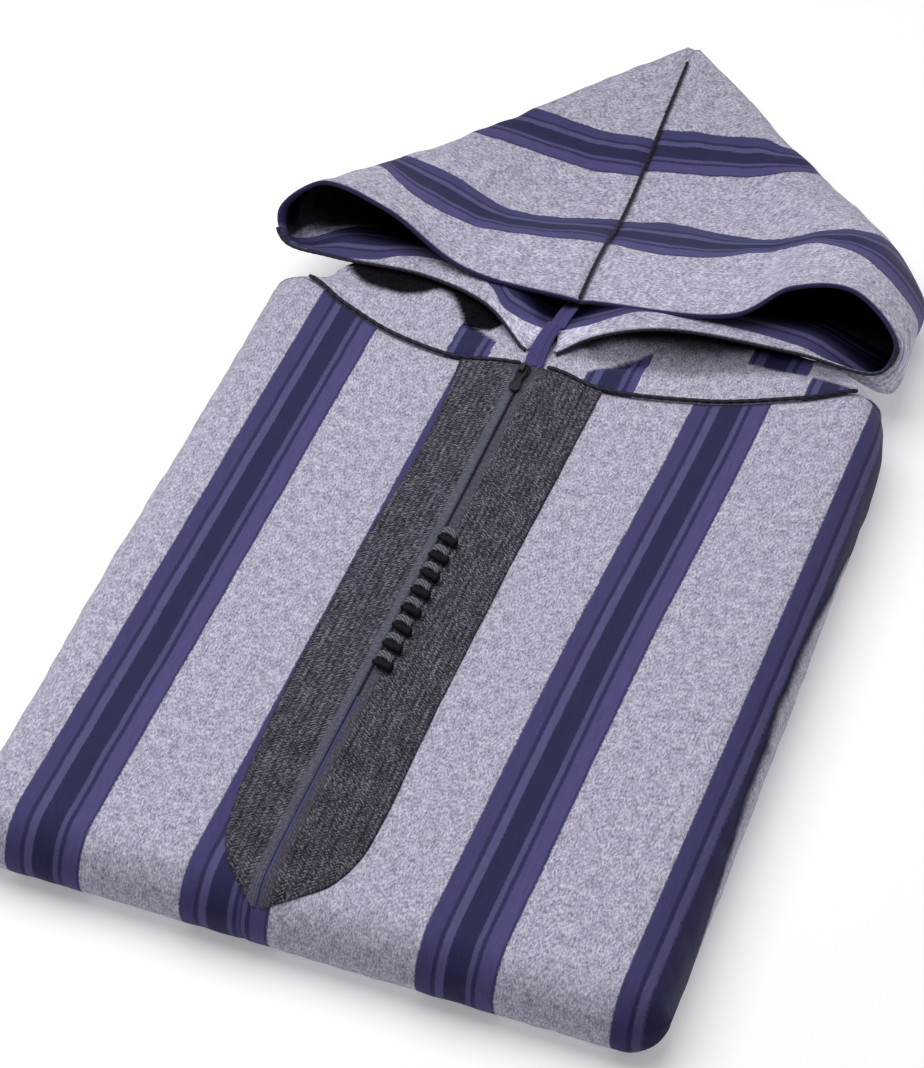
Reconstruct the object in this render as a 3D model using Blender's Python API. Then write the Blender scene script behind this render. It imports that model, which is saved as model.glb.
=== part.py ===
"""A hooded striped djellaba, folded flat into a packet with its hood laid out behind it.

Metres, +Z up. X runs across the packet, +Y runs from the bottom fold towards the hood, and
z = 0 is the surface that the garment lies on. The origin is on the floor under the middle of
the whole garment. Tables give millimetres from the top of the zip, and ORIGIN moves them.
"""

import math

import bpy
import numpy as np
from mathutils import Matrix, Vector

MM = 0.001

# Driving sizes of the packet, in millimetres from the top of the zip
THICK = 50.0
FOLD_RADIUS = THICK / 2
FOLD_CENTRE_Y = -421.0
SIDE_RADIUS = 24.0
SIDE_POWER = 2.3
LEFT_SIDE = (
    # how far up the packet, reach across
    (-421.0, -175.2), (-343.0, -176.0), (-243.0, -178.2), (-97.0, -179.8), (-19.0, -181.0),
    (45.0, -182.0), (75.0, -178.0),
)
RIGHT_SIDE = (
    # how far up the packet, reach across
    (-421.0, 236.0), (-268.0, 232.6), (-104.0, 228.2), (0.0, 224.8), (30.0, 219.5),
    (46.0, 214.0), (58.0, 210.0), (75.0, 207.5), (100.0, 207.5),
)
CENTRE_SEAM_X = -2.0

# The far end under the hood: where it stops, how full it stays, and how its sides draw in
END_EDGE = (
    # x, y
    (-200.0, 46.0), (-182.0, 48.0), (-170.0, 52.0), (-158.0, 61.0), (-146.0, 74.0),
    (-125.0, 88.0), (-90.0, 94.0), (-45.0, 90.0), (40.0, 90.0), (100.0, 96.0), (150.0, 94.0),
    (175.0, 87.0), (195.0, 76.0), (207.0, 70.0), (240.0, 70.0),
)
END_FOOT = 4.0
END_FULL = (
    # x, power of the end's rounding
    (-200.0, 0.55), (-80.0, 0.55), (-45.0, 0.8), (-28.0, 1.0), (26.0, 1.0), (50.0, 0.8),
    (80.0, 0.55), (240.0, 0.55),
)
CORE_SETBACK = 3.5
END_DRAW = (
    # degrees over the end, how far the side draws in
    (0.0, 0.0), (10.0, 8.0), (20.0, 13.5), (42.0, 21.0), (60.0, 26.0), (90.0, 34.0),
)

# The cloth and the gaps between its pieces
CLOTH = 2.0
SEAM_GAP = 0.3
CORE_GAP = 0.8

# Where the front wraps to, past each side and under the bottom fold
SIDE_WRAP = 112.0
FOLD_SIDE_WRAP = 88.0
FOLD_WRAP = 172.0
FLAT_STEPS = (7, 9)

# The shoulder seam: how far back it lies at each place across
SHOULDER_SEAM = (
    # x, y
    (-200.0, 36.0),
    (-175.0, 38.0),
    (-161.0, 39.0),
    (-127.0, 22.0),
    (-83.0, 5.0),
    (-48.0, 0.0),
    (-12.0, 7.0),
    (15.0, 10.0),
    (49.0, 3.0),
    (110.0, 14.0),
    (167.0, 38.0),
    (204.0, 58.0),
    (240.0, 60.0),
)

# Folded layers below the front, up the packet's side: share of the height, and how far inside
SIDE_LAYERS = (
    # height share, inset
    (0.00, 1.5),
    (0.03, 0.2),
    (0.09, 0.0),
    (0.115, 1.7),
    (0.14, 0.0),
    (0.21, 0.0),
    (0.235, 1.7),
    (0.25, CLOTH + CORE_GAP),
    (0.50, CLOTH + CORE_GAP),
    (0.75, CLOTH + CORE_GAP),
    (0.92, CLOTH + CORE_GAP),
    (1.00, CLOTH + CORE_GAP),
)

# The hood's front edge, from the zip round the side loop to the seam over the forehead
RIM_LEFT = (
    # place, x, y, z
    ("chin", -5, 22, 50),
    ("neck", -41, 52, 52),
    ("cheek", -87, 64, 52),
    ("under", -150, 65, 48),
    ("corner", -184, 66, 51),
    ("side", -194, 80, 64),
    ("crest", -174, 96, 80),
    ("brow", -126, 91, 76),
    ("temple", -65, 72, 59),
    ("forehead", 8, 83, 45),
)
RIM_RIGHT = (
    # place, x, y, z
    ("chin", 14, 24, 50),
    ("neck", 33, 46, 52),
    ("cheek", 72, 67, 53),
    ("under", 154, 79, 49),
    ("corner", 208, 79, 50),
    ("side", 214, 92, 63),
    ("crest", 176, 114, 80),
    ("brow", 138, 105, 78),
    ("temple", 109, 86, 63),
    ("forehead", 8, 83, 45),
)
RIM_STEPS = (3, 3, 3, 4, 4, 4, 4, 4, 4)

# How far out and down the hood's outside rolls below its edge at the ends of the loops
ROLL = {
    # place: left, right
    "corner": ((-3.0, 0.0, -4.0), (9.0, -3.0, -19.0)),
    "side": ((0.0, 0.0, 0.0), (5.0, 0.0, -4.0)),
}
NO_ROLL = ((0.0, 0.0, 0.0), (0.0, 0.0, 0.0))
ROLL_RISE = (
    # share of the way to the point, share of the roll
    (0.0, 0.0), (0.012, 0.75), (0.03, 1.0), (0.09, 0.9), (0.2, 0.4), (0.35, 0.0), (1.0, 0.0),
)
LOOP_TURN = {"chin": 0.0, "neck": 0.0, "cheek": 0.0, "under": 0.0, "corner": 0.1,
             "side": 0.5, "crest": 1.0, "brow": 1.0, "temple": 1.0, "forehead": 1.0}

# How the hood falls and narrows from its edge to its point
POINT = (-18.0, 403.0, 7.0)
POINT_HALF_WIDTH = 5.0
FULLNESS = (
    # share of the way to the point, extra width left and right
    (0.00, 0.0, 0.0), (0.08, 0.03, 0.08), (0.15, 0.05, 0.155), (0.25, 0.065, 0.26),
    (0.37, 0.075, 0.295), (0.45, 0.095, 0.28), (0.55, 0.106, 0.24), (0.64, 0.1, 0.205),
    (0.73, 0.085, 0.145), (0.83, 0.06, 0.11), (1.00, 0.0, 0.0),
)
UPPER_FALL = (
    # share of the way to the point, share of the height left at the seam, left and right
    (0.00, 1.00, 1.00, 1.00), (0.11, 0.89, 0.78, 0.86), (0.21, 0.70, 0.62, 0.75),
    (0.31, 0.41, 0.49, 0.63), (0.40, 0.24, 0.34, 0.48), (0.50, 0.155, 0.22, 0.33),
    (0.62, 0.12, 0.11, 0.19), (0.74, 0.10, 0.06, 0.11), (0.86, 0.05, 0.02, 0.05),
    (1.00, 0.0, 0.0, 0.0),
)
FALL_REACH = 150.0
LOWER_FALL = (
    # share of the way to the point, share of the height left
    (0.00, 1.00), (0.06, 0.93), (0.11, 0.82), (0.20, 0.52), (0.30, 0.24), (0.40, 0.06), (0.48, 0.0),
    (1.00, 0.0),
)
HOOD_ROWS = (0.0, 0.012, 0.03, 0.07, 0.12, 0.18, 0.25, 0.33, 0.41, 0.50, 0.62, 0.75, 0.88, 1.0)
NECK_JOIN = 0.06
NECK_SEAM_X = 6.0

# The placket's outline along the cloth, which runs on over the bottom fold
PLACKET = (
    # along, left edge, right edge
    (-4.0, -41.0, 51.0),
    (-40.0, -37.0, 50.7),
    (-90.0, -35.2, 50.4),
    (-170.0, -38.3, 49.4),
    (-261.0, -38.0, 49.5),
    (-310.0, -36.0, 50.0),
    (-361.0, -33.0, 51.5),
    (-389.0, -29.8, 51.0),
    (-406.0, -26.0, 47.5),
    (-421.0, -19.0, 41.0),
    (-433.0, -8.0, 26.0),
    (-443.0, 3.0, 10.0),
)
SLIT = (
    # along, middle of the slit
    (0.0, 0.0),
    (-26.0, 1.1),
    (-110.0, 2.6),
    (-250.0, 3.6),
    (-304.0, 3.9),
    (-400.0, 5.0),
    (-443.0, 6.5),
)
BRAID_THICK = 1.8
SLIT_HALF = 0.9
BRAID_PROFILE = (
    # share of the band's width, share of its thickness
    (0.00, 0.45), (0.05, 0.95), (0.20, 1.00), (0.235, 0.75), (0.27, 1.00), (0.68, 1.00),
    (0.715, 0.75), (0.75, 1.00), (0.95, 0.95), (1.00, 0.45),
)

KNOTS = 8
KNOT_FIRST_Y = -156.5
KNOT_PITCH = 15.2
KNOT_PROFILE = (
    # along the knot, radius
    (-5.9, 0.8), (-5.0, 1.9), (-3.4, 2.6), (-1.0, 3.0), (1.0, 2.8), (2.4, 2.6), (3.9, 3.4),
    (5.1, 3.1), (5.8, 1.7), (6.1, 0.7),
)
KNOT_SIDES = 8
KNOT_ASIDE = 6.8

SEAM_CORD = 1.3
SHOULDER_CORD = 1.5
RIM_CORD = 1.1
TAPE_HALF = 5.0
TAPE_THICK = 1.0
TAPE_END = 0.25

# The zip's slider and pull tab
SLIDER_SIZE = (8.0, 11.0, 2.0)
BRIDGE_HALF = (1.2, 3.5)
BRIDGE_HOLE_HALF = 2.0
BRIDGE_HOLE_HEIGHT = 2.6
BRIDGE_TOP = 1.2
TAB_LENGTH = 19.0
TAB_THICK = 1.2
TAB_BAR_HALF = 0.8
TAB_TIP = 5.5
TAB_SLOT = (1.7, 4.6)
TAB_HALF_WIDTHS = (3.2, 2.6, 3.4)

SPAN_X = (-196.4, 236.0)
SPAN_Y = (-445.9, 403.0)
ORIGIN = np.array([sum(SPAN_X) / 2, sum(SPAN_Y) / 2, 0.0])

COLOURS = {
    # name: colour, roughness, metallic
    "striped cloth": ((0.36, 0.35, 0.46), 0.9, 0.0),
    "folded layers": ((0.33, 0.32, 0.42), 0.9, 0.0),
    "braid": ((0.055, 0.055, 0.075), 0.75, 0.0),
    "cord": ((0.012, 0.012, 0.028), 0.6, 0.0),
    "tape": ((0.07, 0.065, 0.17), 0.8, 0.0),
    "knots": ((0.01, 0.01, 0.02), 0.6, 0.0),
    "zip metal": ((0.03, 0.03, 0.035), 0.35, 0.9),
}


def clear_scene():
    """Removes what the scene starts with."""
    for thing in list(bpy.data.objects):
        bpy.data.objects.remove(thing, do_unlink=True)


def material(name):
    """One finish, from the table of colours."""
    found = bpy.data.materials.get(name)
    if found:
        return found
    colour, roughness, metallic = COLOURS[name]
    made = bpy.data.materials.new(name)
    made.use_nodes = True
    shader = made.node_tree.nodes["Principled BSDF"]
    shader.inputs["Base Color"].default_value = (*colour, 1.0)
    shader.inputs["Roughness"].default_value = roughness
    shader.inputs["Metallic"].default_value = metallic
    return made


def make_object(name, points, faces, finish):
    """A closed mesh object from points in millimetres, its faces turned outward."""
    placed = (np.asarray(points, float) - ORIGIN) * MM
    volume = 0.0
    for face in faces:
        first = placed[face[0]]
        for b, c in zip(face[1:-1], face[2:]):
            volume += first.dot(np.cross(placed[b], placed[c]))
    if volume < 0:
        faces = [face[::-1] for face in faces]
    mesh = bpy.data.meshes.new(name)
    mesh.from_pydata([tuple(p) for p in placed], [], faces)
    mesh.materials.append(material(finish))
    mesh.shade_smooth()
    made = bpy.data.objects.new(name, mesh)
    bpy.context.scene.collection.objects.link(made)
    return made


def grid_faces(rows, columns, first=0, turned=False):
    """Triangles between the points of a grid that is stored row by row."""
    faces = []
    for i in range(rows - 1):
        for j in range(columns - 1):
            a = first + i * columns + j
            for face in ((a, a + 1, a + columns + 1), (a, a + columns + 1, a + columns)):
                faces.append(face[::-1] if turned else face)
    return faces


def wall(name, outer, inner, finish):
    """A cloth wall between two grids of points, closed round its edge."""
    rows, columns = outer.shape[:2]
    count = rows * columns
    points = np.concatenate([outer.reshape(-1, 3), inner.reshape(-1, 3)])
    faces = grid_faces(rows, columns) + grid_faces(rows, columns, count, turned=True)
    edge = [j for j in range(columns)]
    edge += [i * columns + columns - 1 for i in range(1, rows)]
    edge += [(rows - 1) * columns + j for j in range(columns - 2, -1, -1)]
    edge += [i * columns for i in range(rows - 2, 0, -1)]
    for a, b in zip(edge, edge[1:] + edge[:1]):
        faces += [(b, a, a + count), (b, a + count, b + count)]
    return make_object(name, points, faces, finish)


def rings(name, stack, finish):
    """A closed solid through a stack of rings with equal numbers of points."""
    stack = np.asarray(stack, float)
    count, around = stack.shape[:2]
    faces = []
    for i in range(count - 1):
        for j in range(around):
            a, b = i * around + j, i * around + (j + 1) % around
            faces += [(a, b, b + around), (a, b + around, a + around)]
    faces.append(tuple(range(around))[::-1])
    faces.append(tuple((count - 1) * around + j for j in range(around)))
    return make_object(name, stack.reshape(-1, 3), faces, finish)


def straight(table, x, column=1):
    """A table read at x, with straight lines between its rows."""
    rows = sorted(table)
    return float(np.interp(x, [r[0] for r in rows], [r[column] for r in rows]))


def smooth(table, x, column=1):
    """A table read at x, with a curve through its rows that never swings past them."""
    rows = sorted(table)
    xs = [r[0] for r in rows]
    ys = [r[column] for r in rows]
    k = int(np.clip(np.searchsorted(xs, x) - 1, 0, len(xs) - 2))
    steps = [(ys[i + 1] - ys[i]) / (xs[i + 1] - xs[i]) for i in range(len(xs) - 1)]

    def slope(i):
        if i == 0:
            return steps[0]
        if i == len(xs) - 1:
            return steps[-1]
        a, b = steps[i - 1], steps[i]
        return 0.0 if a * b <= 0 else 2 * a * b / (a + b)

    width = xs[k + 1] - xs[k]
    t = float(np.clip((x - xs[k]) / width, 0.0, 1.0))
    return (
        (2 * t**3 - 3 * t**2 + 1) * ys[k]
        + (t**3 - 2 * t**2 + t) * width * slope(k)
        + (3 * t**2 - 2 * t**3) * ys[k + 1]
        + (t**3 - t**2) * width * slope(k + 1)
    )


def curve_through(points, steps):
    """Points along a smooth curve through the given ones, with so many steps in each span."""
    p = np.asarray(points, float)
    p = np.vstack([2 * p[0] - p[1], p, 2 * p[-1] - p[-2]])
    found = []
    for i, count in enumerate(steps):
        a, b, c, d = p[i : i + 4]
        knots = [0.0]
        for start, end in ((a, b), (b, c), (c, d)):
            knots.append(knots[-1] + math.sqrt(np.linalg.norm(end - start)) + 1e-9)
        for s in range(count):
            t = knots[1] + (knots[2] - knots[1]) * s / count
            ab = (knots[1] - t) / knots[1] * a + t / knots[1] * b
            bc = ((knots[2] - t) * b + (t - knots[1]) * c) / (knots[2] - knots[1])
            cd = ((knots[3] - t) * c + (t - knots[2]) * d) / (knots[3] - knots[2])
            abc = ((knots[2] - t) * ab + t * bc) / knots[2]
            bcd = ((knots[3] - t) * bc + (t - knots[1]) * cd) / (knots[3] - knots[1])
            found.append(((knots[2] - t) * abc + (t - knots[1]) * bcd) / (knots[2] - knots[1]))
    found.append(p[-2])
    return np.array(found)


def tube(name, path, radius, finish, sides=6):
    """A cord along a path, with flat ends."""
    path = np.asarray(path, float)
    ring = []
    side = None
    for i, p in enumerate(path):
        along = path[min(i + 1, len(path) - 1)] - path[max(i - 1, 0)]
        along /= np.linalg.norm(along)
        guess = np.array([0.0, 0.0, 1.0]) if side is None else side
        side = guess - along * guess.dot(along)
        side /= np.linalg.norm(side)
        other = np.cross(along, side)
        turns = [2 * math.pi * (k + 0.5) / sides for k in range(sides)]
        ring.append([p + radius * (math.cos(t) * side + math.sin(t) * other) for t in turns])
    return rings(name, ring, finish)


def power(value, exponent):
    """A signed power, for the rounded profile of the packet's sides."""
    return math.copysign(abs(value) ** exponent, value)


def side_extreme(sign, y):
    """How far across the packet's left or right side reaches at y."""
    return smooth(RIGHT_SIDE if sign > 0 else LEFT_SIDE, y)


class Row:
    """A line across the packet's cloth: on the bottom fold, on the flat top or over the far end."""

    def __init__(self, kind, value):
        self.kind = kind
        self.value = value

    def place(self, x, inset, shift=0.0):
        """Centre (y, z), radius and direction (y, z) of the cloth here, and how far the side draws in."""
        seam = smooth(SHOULDER_SEAM, x)
        if self.kind == "fold":
            turn = math.radians(self.value)
            centre = (FOLD_CENTRE_Y, FOLD_RADIUS)
            return centre, FOLD_RADIUS - inset, (-math.sin(turn), math.cos(turn)), 0.0
        if self.kind == "top":
            y = FOLD_CENTRE_Y + self.value * (seam + shift - FOLD_CENTRE_Y)
            return (y, FOLD_RADIUS), FOLD_RADIUS - inset, (0.0, 1.0), 0.0
        turn = math.radians(self.value)
        reach = smooth(END_EDGE, x) - seam
        y = seam + shift + (reach - shift - inset) * math.sin(turn)
        full = math.cos(turn) ** smooth(END_FULL, x)
        height = END_FOOT + (THICK - END_FOOT) * full
        inner = END_FOOT + (THICK - END_FOOT - inset) * full
        return (y, height / 2), inner - height / 2, (0.0, 1.0), smooth(END_DRAW, self.value)

    def setback(self):
        """How much further the folded layers stop short of the far end's cloth."""
        return CORE_SETBACK * math.sin(math.radians(self.value)) if self.kind == "end" else 0.0


def drawn_in(x, sign, draw):
    """A place across the packet where its far end narrows towards the middle seam."""
    reach = abs(side_extreme(sign, 0.0) - sign * SIDE_RADIUS - CENTRE_SEAM_X)
    return CENTRE_SEAM_X + (x - CENTRE_SEAM_X) * (1 - draw / reach)


def packet_point(row, column, inset, shift=0.0):
    """A point on the packet's cloth, inset from its outside.

    A column is a place across the flat top, or a side with an angle round its rounding.
    """
    kind, value = column
    if kind == "flat":
        (y, z), radius, (dy, dz), draw = row.place(value, inset, shift)
        x = drawn_in(value, 1.0 if value > CENTRE_SEAM_X else -1.0, draw)
        return (x, y + radius * dy, z + radius * dz)
    sign = 1.0 if kind == "right" else -1.0
    turn = math.radians(value * (FOLD_SIDE_WRAP / SIDE_WRAP if row.kind == "fold" else 1.0))
    edge = side_extreme(sign, row.place(sign * 180.0, 0.0)[0][0])
    flat_x = edge - sign * SIDE_RADIUS
    widest = SIDE_RADIUS * math.sin(min(turn, math.pi / 2)) ** (2 / SIDE_POWER)
    (y, z), radius, (dy, dz), draw = row.place(flat_x + sign * widest, inset, shift)
    across = (SIDE_RADIUS - inset) * power(math.sin(turn), 2 / SIDE_POWER)
    up = radius * power(math.cos(turn), 2 / SIDE_POWER)
    return (drawn_in(flat_x, sign, draw) + sign * across, y + up * dy, z + up * dz)


def packet_grid(rows, columns, inset, shift=0.0):
    """The packet's cloth through rows and columns."""
    return np.array([[packet_point(r, c, inset, shift) for c in columns] for r in rows])


def side_columns(kind):
    """Columns round one side, from the flat top down past its middle."""
    return [(kind, SIDE_WRAP * k / 8) for k in range(9)]


def flat_places(sign):
    """Places across the flat top of one panel, from its side to the middle seam."""
    outer = side_extreme(sign, 0.0) - sign * SIDE_RADIUS
    middle = CENTRE_SEAM_X + sign * SEAM_GAP / 2
    count = FLAT_STEPS[0] if sign < 0 else FLAT_STEPS[1]
    return [outer + (middle - outer) * k / count for k in range(count + 1)]


def panel_columns(sign):
    """A panel's columns from left to right, its side's rounding included."""
    flat = [("flat", x) for x in flat_places(sign)]
    kind = "left" if sign < 0 else "right"
    columns = side_columns(kind)[:0:-1] + flat
    return columns if sign < 0 else columns[::-1]


FOLD_ROWS = [Row("fold", FOLD_WRAP * (1 - k / 11)) for k in range(12)]
TOP_ROWS = [Row("top", v) for v in (0.003, 0.12, 0.3, 0.5, 0.7, 0.85, 0.94, 1.0)]
END_ROWS = [Row("end", v) for v in (0.0, 12.0, 26.0, 42.0, 58.0, 72.0, 82.0, 87.5, 89.5)]


def build_panels(names, rows, shift):
    """Two panels seamed down the middle, each through the same rows."""
    for name, sign in zip(names, (-1, 1)):
        columns = panel_columns(sign)
        outer = packet_grid(rows, columns, 0.0, shift)
        inner = packet_grid(rows, columns, CLOTH, shift)
        wall(name, outer, inner, "striped cloth")


def core_side(row, sign):
    """One side of the folded layers in a row, from the floor up, as points."""
    edge = side_extreme(sign, row.place(sign * 180.0, 0.0)[0][0])
    flat_x = edge - sign * SIDE_RADIUS
    covered = row.kind == "fold"
    (_, z), radius, (dy, dz), draw = row.place(flat_x, CLOTH + CORE_GAP)
    top = z + radius * dz
    bottom = 2 * FOLD_RADIUS - top if covered else 0.0
    points = []
    for share, inset in SIDE_LAYERS:
        inset = CLOTH + CORE_GAP if covered else inset
        height = bottom + share * (top - bottom)
        if covered:
            away = math.hypot(radius * dy, height - z) / radius
        else:
            away = (height - z) / radius if height > z else (z - height) / z
        rounding = max(0.0, 1 - min(away, 1.0) ** SIDE_POWER) ** (1 / SIDE_POWER)
        widest = SIDE_RADIUS * (rounding if height > z else 1.0)
        y = row.place(flat_x + sign * widest, CLOTH + CORE_GAP)[0][0]
        reach = (SIDE_RADIUS - inset) * rounding
        place = drawn_in(flat_x, sign, draw) + sign * reach
        points.append((place, y + radius * dy - row.setback(), height))
    return points


def build_core():
    """The folded layers inside, one rounded solid with its layers showing along the sides."""
    rows = [row for row in FOLD_ROWS if row.value < 85.0] + TOP_ROWS + END_ROWS[1:-1]
    stack = []
    for row in rows:
        left = core_side(row, -1)
        right = core_side(row, 1)
        places = flat_places(-1)[1:-1] + [CENTRE_SEAM_X] + flat_places(1)[-2:0:-1]
        top = [packet_point(row, ("flat", x), CLOTH + CORE_GAP) for x in places]
        top = [(x, y - row.setback(), z) for x, y, z in top]
        floor = left[0][2]
        under = [(x, y, floor) for x, y, _ in top[::-1]]
        stack.append(left + top + right[::-1] + under)
    rings("folded_layers", stack, "folded layers")


def seam_x(share, edge_x):
    """Where the hood's middle seam lies, from the forehead to the point."""
    return edge_x + (POINT[0] - edge_x) * share


def hood_point(rim, place, turn, share, sign):
    """A point of the hood, at a place round its edge and so far from the edge to its point."""
    x, y, z = rim
    column = 2 if sign < 0 else 3
    middle = seam_x(share, 8.0)
    lower_middle = NECK_SEAM_X + (POINT[0] - NECK_SEAM_X) * share
    middle = middle * turn + lower_middle * (1 - turn)
    reach = abs(x - 8.0)
    width = (1 - share) + smooth(FULLNESS, share, column - 1)
    half = reach * width + POINT_HALF_WIDTH * share * math.sin(math.pi * place)
    if share > 0:
        half = max(half - abs(NECK_SEAM_X - 8.0) * (1 - turn), SEAM_GAP / 2)
    low = z * smooth(LOWER_FALL, share)
    aside = min(reach / FALL_REACH, 1.0)
    fall = smooth(UPPER_FALL, share) * (1 - aside) + smooth(UPPER_FALL, share, column) * aside
    high = POINT[2] + (z - POINT[2]) * fall
    height = low + (high - low) * turn
    return (middle + sign * half, y + (POINT[1] - y) * share, height)


def hood_grid(side):
    """The hood's outside on one side: rows from its edge to its point, columns round its edge."""
    table, sign = (RIM_LEFT, -1.0) if side == "left" else (RIM_RIGHT, 1.0)
    rim = curve_through([row[1:] for row in table], RIM_STEPS)
    turns = curve_through([(LOOP_TURN[row[0]], 0.0, 0.0) for row in table], RIM_STEPS)[:, 0]
    turns = np.clip(turns, 0.0, 1.0)
    last = len(rim) - 1
    grid = np.array([
        [hood_point(rim[k], k / last, turns[k], share, sign) for k in range(last + 1)]
        for share in HOOD_ROWS
    ])
    rolls = [ROLL.get(row[0], NO_ROLL)[side == "right"] for row in table]
    rolls = curve_through(rolls, RIM_STEPS)
    rises = np.array([smooth(ROLL_RISE, share) for share in HOOD_ROWS])
    grid += rises[:, None, None] * rolls[None]
    for i, share in enumerate(HOOD_ROWS):
        grid[i, -1, 0] = seam_x(share, 8.0) + sign * SEAM_GAP / 2
        if share >= NECK_JOIN:
            grid[i, 0, 0] = NECK_SEAM_X + (POINT[0] - NECK_SEAM_X) * share + sign * SEAM_GAP / 2
        else:
            joined = NECK_SEAM_X + sign * SEAM_GAP / 2
            grid[i, 0, 0] = rim[0][0] + (joined - rim[0][0]) * share / NECK_JOIN
    return grid


def grid_normals(grid):
    """Unit normals of a grid, on the side that its rows and columns turn to."""
    along = np.gradient(grid, axis=0)
    across = np.gradient(grid, axis=1)
    normal = np.cross(along, across)
    return normal / np.maximum(np.linalg.norm(normal, axis=2, keepdims=True), 1e-9)


def thicken(grid, side, thickness):
    """The hood's inside, a wall's thickness in from its outside, flat where it lies on the floor."""
    normal = grid_normals(grid) * (-1.0 if side == "left" else 1.0)
    normal[:, 0] = (0.0, 0.0, -1.0)
    normal[:, -1, 0] = 0.0
    normal[:, -1] /= np.linalg.norm(normal[:, -1], axis=1, keepdims=True)
    return grid - normal * thickness


def build_hood():
    """The hood's halves, seamed over the top and down the back, open at its front edge."""
    for side in ("left", "right"):
        outer = hood_grid(side)
        inner = thicken(outer, side, CLOTH)
        wall("hood_" + side, outer, inner, "striped cloth")


def cloth_place(x, along, inset):
    """A point at a height over the front panel, for a place across and a length along the cloth."""
    if along >= FOLD_CENTRE_Y:
        return (x, along, THICK - inset)
    turn = math.degrees((FOLD_CENTRE_Y - along) / FOLD_RADIUS)
    return packet_point(Row("fold", turn), ("flat", x), inset)


def build_placket():
    """Two braided bands that run down both sides of the zip to one rounded point."""
    stations = [-4.0 - 22.0 * k for k in range(17)] + [-374.0, -389.0, -399.0, -408.0]
    stations += [-416.0, -423.0, -430.0, -437.0, -443.0]
    for name, edge, sign in (("placket_left", 1, -1.0), ("placket_right", 2, 1.0)):
        outer, inner = [], []
        for along in stations:
            start = straight(SLIT, along) + sign * SLIT_HALF
            stop = smooth(PLACKET, along, edge)
            stop = max(sign * stop, sign * start + 3.0) * sign
            row_out, row_in = [], []
            for share, rise in BRAID_PROFILE:
                x = start + share * (stop - start)
                top_y = along
                if along == stations[0]:
                    top_y = smooth(SHOULDER_SEAM, x) - SHOULDER_CORD - SEAM_GAP
                row_out.append(cloth_place(x, top_y, -SEAM_GAP - rise * BRAID_THICK))
                row_in.append(cloth_place(x, top_y, -SEAM_GAP))
            outer.append(row_out)
            inner.append(row_in)
        wall(name, np.array(outer), np.array(inner), "braid")


def build_zip():
    """The closed zip in the slit, its slider with a bridge, and the pull tab on the bridge."""
    half = SLIT_HALF - SEAM_GAP
    stack = []
    for k in range(15):
        along = -8.0 - 20.0 * k
        middle = straight(SLIT, along)
        low, high = THICK + SEAM_GAP, THICK + SEAM_GAP + 1.3
        corners = ((-half, low), (half, low), (half, high), (-half, high))
        stack.append([(middle + x, along, z) for x, z in corners])
    rings("zip_chain", stack, "zip metal")

    base = THICK + 2 * SEAM_GAP + BRAID_THICK
    wide, long, high = SLIDER_SIZE
    hole_low = base + high
    hole_top = hole_low + BRIDGE_HOLE_HEIGHT
    reach = BRIDGE_HALF[1]
    body = prism("zip_slider", slider_outline(wide, long), base, base + high, "zip metal")
    arch = [
        (-reach, hole_low - 0.4), (reach, hole_low - 0.4), (reach, hole_top + 0.4),
        (reach - 1.0, hole_top + BRIDGE_TOP), (-reach + 1.0, hole_top + BRIDGE_TOP),
        (-reach, hole_top + 0.4),
    ]
    bridge = side_prism("bridge", arch, BRIDGE_HALF[0])
    hole = side_prism("bridge_hole", [
        (-BRIDGE_HOLE_HALF, hole_low), (BRIDGE_HOLE_HALF, hole_low),
        (BRIDGE_HOLE_HALF, hole_top), (-BRIDGE_HOLE_HALF, hole_top),
    ], BRIDGE_HALF[0] + 1.0)
    combine(bridge, hole, "DIFFERENCE")
    combine(body, bridge, "UNION")

    axis_z = (hole_low + hole_top) / 2
    outline = tab_outline()
    slot_x, slot_y = TAB_SLOT
    low, high = axis_z - TAB_THICK / 2, axis_z + TAB_THICK / 2
    slot = [(-slot_x, -slot_y), (slot_x, -slot_y), (slot_x, -TAB_BAR_HALF), (-slot_x, -TAB_BAR_HALF)]
    tab = prism("zip_pull_tab", outline, low, high, "zip metal")
    cutter = prism("tab_slot", slot, low - 1.0, high + 1.0, "zip metal")
    combine(tab, cutter, "DIFFERENCE")
    lay_down(tab, axis_z)


def lay_down(tab, axis_z):
    """Tips the pull tab about its bar, so that its end comes down to the braid."""
    pivot = Vector([float(v) for v in (np.array([0.0, 0.0, axis_z]) - ORIGIN) * MM])
    turn = Matrix.Rotation(math.radians(TAB_TIP), 4, "X")
    tab.data.transform(Matrix.Translation(pivot) @ turn @ Matrix.Translation(-pivot))


def slider_outline(wide, long):
    """The slider's body from above, narrower towards the closed zip."""
    half, end = wide / 2, long / 2
    return [
        (-half * 0.6, -end), (half * 0.6, -end), (half, -end * 0.3), (half, end * 0.7),
        (half * 0.6, end), (-half * 0.6, end), (-half, end * 0.7), (-half, -end * 0.3),
    ]


def tab_outline():
    """The pull tab from above, from its bar down to its rounded end."""
    top, waist, end = TAB_HALF_WIDTHS
    points = [(top, TAB_BAR_HALF), (top, -5.4), (waist, -7.5), (waist, -11.0), (end, -14.0)]
    points += [(end, -TAB_LENGTH + 2.0), (end - 1.4, -TAB_LENGTH)]
    return points + [(-x, y) for x, y in points[::-1]]


def prism(name, outline, low, high, finish):
    """An outline in X and Y, raised from one height to another."""
    return rings(name, [[(x, y, low) for x, y in outline], [(x, y, high) for x, y in outline]], finish)


def side_prism(name, outline, half):
    """An outline in Y and Z, from one side to the other."""
    stack = [[(x, y, z) for y, z in outline] for x in (-half, half)]
    return rings(name, stack, "zip metal")


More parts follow.
